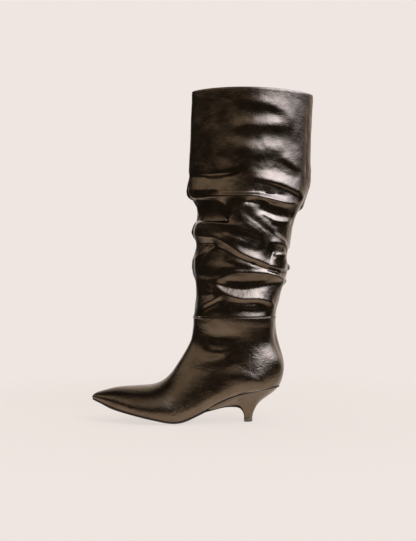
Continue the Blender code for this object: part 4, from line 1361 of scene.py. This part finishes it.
def map_range(tree, value, low, high, to_low=0.0, to_high=1.0, kind="SMOOTHSTEP"):
    """A value's place between `low` and `high`, as the same place between two other values."""
    inputs = {"Value": value, "From Min": low, "From Max": high, "To Min": to_low, "To Max": to_high}
    return add_node(tree, "ShaderNodeMapRange", inputs, interpolation_type=kind).outputs["Result"]


def bumped(tree, height, distance, strength, under=None):
    """The surface's normal under a bump, which may lie on another one."""
    inputs = {"Height": height, "Distance": distance, "Strength": strength}
    if under is not None:
        inputs["Normal"] = under
    return add_node(tree, "ShaderNodeBump", inputs).outputs["Normal"]


def calculate(tree, operation, *values):
    return add_node(tree, "ShaderNodeMath", dict(enumerate(values)), operation=operation).outputs[0]


def ramp(tree, value, stops):
    """A colour ramp over a value, from (place, colour) stops."""
    node = add_node(tree, "ShaderNodeValToRGB", {"Fac": value})
    elements = node.color_ramp.elements
    while len(elements) < len(stops):
        elements.new(0.5)
    for element, (place, colour) in zip(elements, stops):
        element.position = place
        element.color = (*colour, 1)
    return node.outputs["Color"]


# The leather's bumps: how deep the relief is, in metres, and its strength
WAVES_BUMP = (0.0008, 0.55)
CRINKLE_BUMP = (0.0003, 0.6)
PEBBLE_BUMP = (0.00012, 0.5)


def leather_material(name, creased=1.0, grained=1.0, shade=1.0):
    """Metallic bronze leather under a clear glossy finish, finely grained and slightly crinkled. `shade`
    scales its colours down, a painted shade that dims its reflections.
    """
    dark, light = ([channel * shade for channel in colour] for colour in (BRONZE_DARK, BRONZE_LIGHT))
    material, tree, shader = new_material(name, light, 0.22, metallic=1.0)
    shader.inputs["Coat Weight"].default_value = 0.4
    shader.inputs["Coat Roughness"].default_value = 0.09
    place = add_node(tree, "ShaderNodeTexCoord").outputs["Object"]
    colour = ramp(tree, noise(tree, place, 38, 4, 0.6), [(0.3, dark), (0.7, light)])
    tree.links.new(colour, shader.inputs["Base Color"])
    rough = map_range(tree, noise(tree, place, 90, 3, 0.55), 0.3, 0.7, 0.19, 0.28, "LINEAR")
    tree.links.new(rough, shader.inputs["Roughness"])
    waves = noise(tree, place, 62, 2, 0.5)
    crinkle = noise(tree, place, 190, 4, 0.62, 0.8)
    pebbles = add_node(tree, "ShaderNodeTexVoronoi", {"Vector": place, "Scale": 620}, feature="SMOOTH_F1")
    depth, strength = WAVES_BUMP
    normal = bumped(tree, waves, depth, strength * creased)
    depth, strength = CRINKLE_BUMP
    normal = bumped(tree, crinkle, depth, strength * creased, normal)
    depth, strength = PEBBLE_BUMP
    normal = bumped(tree, pebbles.outputs["Distance"], depth * grained, strength, normal)
    tree.links.new(normal, shader.inputs["Normal"])
    tree.links.new(normal, shader.inputs["Coat Normal"])
    return material


def plain_material(name, colour, roughness, scale, depth, shine=0.5):
    """A dull material with a fine mottled colour and grain."""
    material, tree, shader = new_material(name, colour, roughness)
    shader.inputs["Specular IOR Level"].default_value = shine
    grain = noise(tree, add_node(tree, "ShaderNodeTexCoord").outputs["Object"], scale, 5, 0.6)
    darker = [channel * 0.7 for channel in colour]
    lighter = [channel * 1.25 for channel in colour]
    tree.links.new(ramp(tree, grain, [(0.3, darker), (0.7, lighter)]), shader.inputs["Base Color"])
    tree.links.new(bumped(tree, grain, depth, 0.6), shader.inputs["Normal"])
    return material


# The stage

PALE = (0.863, 0.791, 0.753)
ROOM_LIGHT = (0.80, 0.72, 0.66)


# Soft-edged light cards that the leather mirrors. As seen from the boot each stands `azimuth` degrees to
# the heel's side of the camera and `lift` degrees up, and has faded out at `half_width` and `half_height`
# degrees from its middle. The fades are the shares of those that it fades over.
CARDS = table(
    "azimuth lift half_width half_height side_fade top_fade radiance red green blue",
    [
        (-10, 44, 60, 32, 0.9, 0.9, 0.34, 1.00, 0.92, 0.84),
        (-64, 32, 50, 15, 0.6, 0.8, 0.52, 1.00, 0.90, 0.80),
        (60, 39, 49, 35, 0.9, 0.9, 9.20, 0.60, 0.71, 1.00),
    ],
)

# The studio is dark in front and pale behind. It changes between the two places of STUDIO_EDGE along a
# direction that is turned by STUDIO_TURN from +Y to the heel and up.
STUDIO_DARK = (0.020, 0.018, 0.018)
STUDIO_TURN = 0.35
STUDIO_EDGE = (0.44, 1.0)


def soft_card(tree, direction, card):
    """How much of a card shows in a direction: 1 in its middle, fading to 0 at its edges."""
    turn, lift = math.radians(card["azimuth"]), math.radians(card["lift"])
    ahead = (math.sin(turn) * math.cos(lift), -math.cos(turn) * math.cos(lift), math.sin(lift))
    beside = (math.cos(turn), math.sin(turn), 0)
    above = (-math.sin(turn) * math.sin(lift), math.cos(turn) * math.sin(lift), math.cos(lift))

    def along(axis):
        dot = add_node(tree, "ShaderNodeVectorMath", {0: direction, 1: axis}, operation="DOT_PRODUCT")
        return dot.outputs["Value"]

    forward = along(ahead)
    shown = calculate(tree, "GREATER_THAN", forward, 0.02)
    for axis, half, fade in ((beside, "half_width", "side_fade"), (above, "half_height", "top_fade")):
        reach = math.tan(math.radians(card[half]))
        aside = calculate(tree, "ABSOLUTE", calculate(tree, "DIVIDE", along(axis), forward))
        edge = map_range(tree, aside, reach, reach * (1 - card[fade]))
        shown = calculate(tree, "MULTIPLY", shown, edge)
    return shown


def mix_colours(tree, share, first, second):
    """A colour between two, where the first may be another node's output."""
    mixed = add_node(tree, "ShaderNodeMix", {"Factor": share}, data_type="RGBA")
    if isinstance(first, bpy.types.NodeSocket):
        tree.links.new(first, mixed.inputs["A"])
    else:
        mixed.inputs["A"].default_value = (*first, 1)
    mixed.inputs["B"].default_value = (*second, 1)
    return mixed.outputs["Result"]


def mix_shaders(tree, share, first, second):
    return add_node(tree, "ShaderNodeMixShader", {0: share, 1: first, 2: second}).outputs[0]


def build_world():
    """A pale studio that is dark in front, so the leather has blacks to reflect, with the cards in it."""
    world = bpy.data.worlds.new("studio")
    bpy.context.scene.world = world
    world.use_nodes = True
    tree = world.node_tree
    tree.nodes.clear()
    direction = add_node(tree, "ShaderNodeTexCoord").outputs["Generated"]
    split = add_node(tree, "ShaderNodeSeparateXYZ", {"Vector": direction}).outputs
    heelward = calculate(tree, "MULTIPLY_ADD", split["X"], STUDIO_TURN, split["Y"])
    behind = calculate(tree, "MULTIPLY_ADD", split["Z"], STUDIO_TURN, heelward)
    room = mix_colours(tree, map_range(tree, behind, *STUDIO_EDGE), STUDIO_DARK, PALE)
    for card in rows_of(CARDS):
        glow = [card["radiance"] * card[channel] for channel in ("red", "green", "blue")]
        room = mix_colours(tree, soft_card(tree, direction, card), room, glow)
    seen, mirrored, spread = (
        add_node(tree, "ShaderNodeBackground", {"Color": colour}).outputs[0]
        for colour in ((*PALE, 1), room, (*ROOM_LIGHT, 1))
    )
    ray = add_node(tree, "ShaderNodeLightPath").outputs
    unseen = mix_shaders(tree, ray["Is Glossy Ray"], spread, mirrored)
    output = add_node(tree, "ShaderNodeOutputWorld")
    tree.links.new(mix_shaders(tree, ray["Is Camera Ray"], unseen, seen), output.inputs["Surface"])


FLOOR_RADIUS = 0.62
FLOOR_FADED = 0.95
FLOOR_SOLID = 0.22
FLOOR_MIDDLE_Y = 0.12
FLOOR_COLOUR = (0.150, 0.144, 0.142)
FLOOR_GLOW = 0.8
FLOOR_SIDES = 96

# The floor's glow in the leather, which falls from the first place to the second: place in metres and share
NEAR_GLOW = (0.08, 1.08)
FAR_GLOW = (0.5, 0.25)


def build_floor():
    """A pale floor that fades into the studio's colour away from the boot."""
    material, tree, shader = new_material("floor", FLOOR_COLOUR, 0.9)
    shader.inputs["Emission Color"].default_value = (*PALE, 1)
    shader.inputs["Specular IOR Level"].default_value = 0.0
    place = add_node(tree, "ShaderNodeTexCoord").outputs["Object"]
    reach = add_node(tree, "ShaderNodeVectorMath", {0: place}, operation="LENGTH").outputs["Value"]
    solid = map_range(tree, reach, FLOOR_RADIUS * FLOOR_FADED, FLOOR_SOLID)
    mirrored = map_range(tree, reach, FAR_GLOW[0], NEAR_GLOW[0], FAR_GLOW[1], NEAR_GLOW[1])
    ray = add_node(tree, "ShaderNodeLightPath").outputs
    share = add_node(tree, "ShaderNodeMix", {"Factor": ray["Is Glossy Ray"], 2: 1.0, 3: mirrored}).outputs[0]
    tree.links.new(calculate(tree, "MULTIPLY", share, FLOOR_GLOW), shader.inputs["Emission Strength"])
    clear = add_node(tree, "ShaderNodeBsdfTransparent").outputs[0]
    surface = mix_shaders(tree, solid, clear, shader.outputs[0])
    tree.links.new(surface, tree.nodes["Material Output"].inputs["Surface"])
    turns = np.linspace(0, 2 * math.pi, FLOOR_SIDES + 1)[:-1]
    ring = [(FLOOR_RADIUS * math.cos(a), FLOOR_RADIUS * math.sin(a), 0) for a in turns]
    mesh = bpy.data.meshes.new("floor")
    mesh.from_pydata(ring, [], [list(range(FLOOR_SIDES))])
    mesh.materials.append(material)
    floor = bpy.data.objects.new("floor", mesh)
    bpy.context.scene.collection.objects.link(floor)
    floor.location.y = FLOOR_MIDDLE_Y


KEY_PLACE = (4.6, -5.0, 6.5)
KEY_TARGET = (0.03, 0, 0.22)
KEY_SIZE = 6.0
KEY_POWER = 420
KEY_COLOUR = (1.0, 0.97, 0.95)


def build_key_light():
    """One large soft lamp high up on the heel's side, which the leather doesn't mirror."""
    light = bpy.data.lights.new("key", "AREA")
    light.shape = "RECTANGLE"
    light.size = KEY_SIZE
    light.size_y = KEY_SIZE
    light.energy = KEY_POWER
    light.color = KEY_COLOUR
    lamp = bpy.data.objects.new("key", light)
    bpy.context.scene.collection.objects.link(lamp)
    lamp.location = KEY_PLACE
    x, y, z = np.array(KEY_TARGET) - np.array(KEY_PLACE)
    lamp.rotation_euler = (math.atan2(math.hypot(x, y), -z), 0, math.atan2(y, x) - math.pi / 2)
    lamp.visible_glossy = False


def build_camera():
    data = bpy.data.cameras.new("camera")
    data.sensor_width = SENSOR
    data.sensor_height = SENSOR
    data.lens = SENSOR * CAMERA_DISTANCE / FRAME_HEIGHT
    camera = bpy.data.objects.new("camera", data)
    bpy.context.scene.collection.objects.link(camera)
    camera.location = (CAMERA_X, -CAMERA_DISTANCE, CAMERA_Z)
    camera.rotation_euler = (math.pi / 2, 0, 0)
    bpy.context.scene.camera = camera


def main():
    bpy.context.scene.view_settings.view_transform = "Standard"
    leather = leather_material("bronze_leather_look")
    foot_leather = leather_material("foot_leather_look", creased=1.3, grained=3.0)
    heel_leather = leather_material("heel_leather_look", creased=0.3, grained=0.6)
    # the piping's copy of the bronze leather is darkened to 0.6 as painted shade, which dims its reflections
    piping_shaded_leather = leather_material("piping_shaded_leather_look", creased=0.2, grained=0.6, shade=0.6)
    sole = plain_material("sole_leather_look", (0.024, 0.016, 0.011), 0.6, 300, 0.00008, shine=0.25)
    # near-black look for the cord that paints the shade in the gap between the upper and the heel
    joint_shade = plain_material("joint_shade_look", (0.008, 0.006, 0.005), 0.6, 300, 0.00004, shine=0.2)
    rubber = plain_material("rubber_look", (0.085, 0.064, 0.045), 0.42, 500, 0.00006)
    lining = plain_material("lining_look", (0.30, 0.22, 0.16), 0.75, 240, 0.0001)
    thread = plain_material("thread_look", (0.055, 0.042, 0.032), 0.45, 900, 0.00005)
    sheet = shaft_sheet()
    build_shaft(sheet, leather)
    build_lining(sheet, lining)
    build_stitching(sheet, thread)
    build_upper(foot_leather)
    build_piping(piping_shaded_leather)
    build_seat_joint_shade(joint_shade)
    build_heel(heel_leather)
    build_outsole(sole)
    build_top_piece(rubber)
    build_insole(lining)
    build_world()
    build_floor()
    build_key_light()
    build_camera()


main()
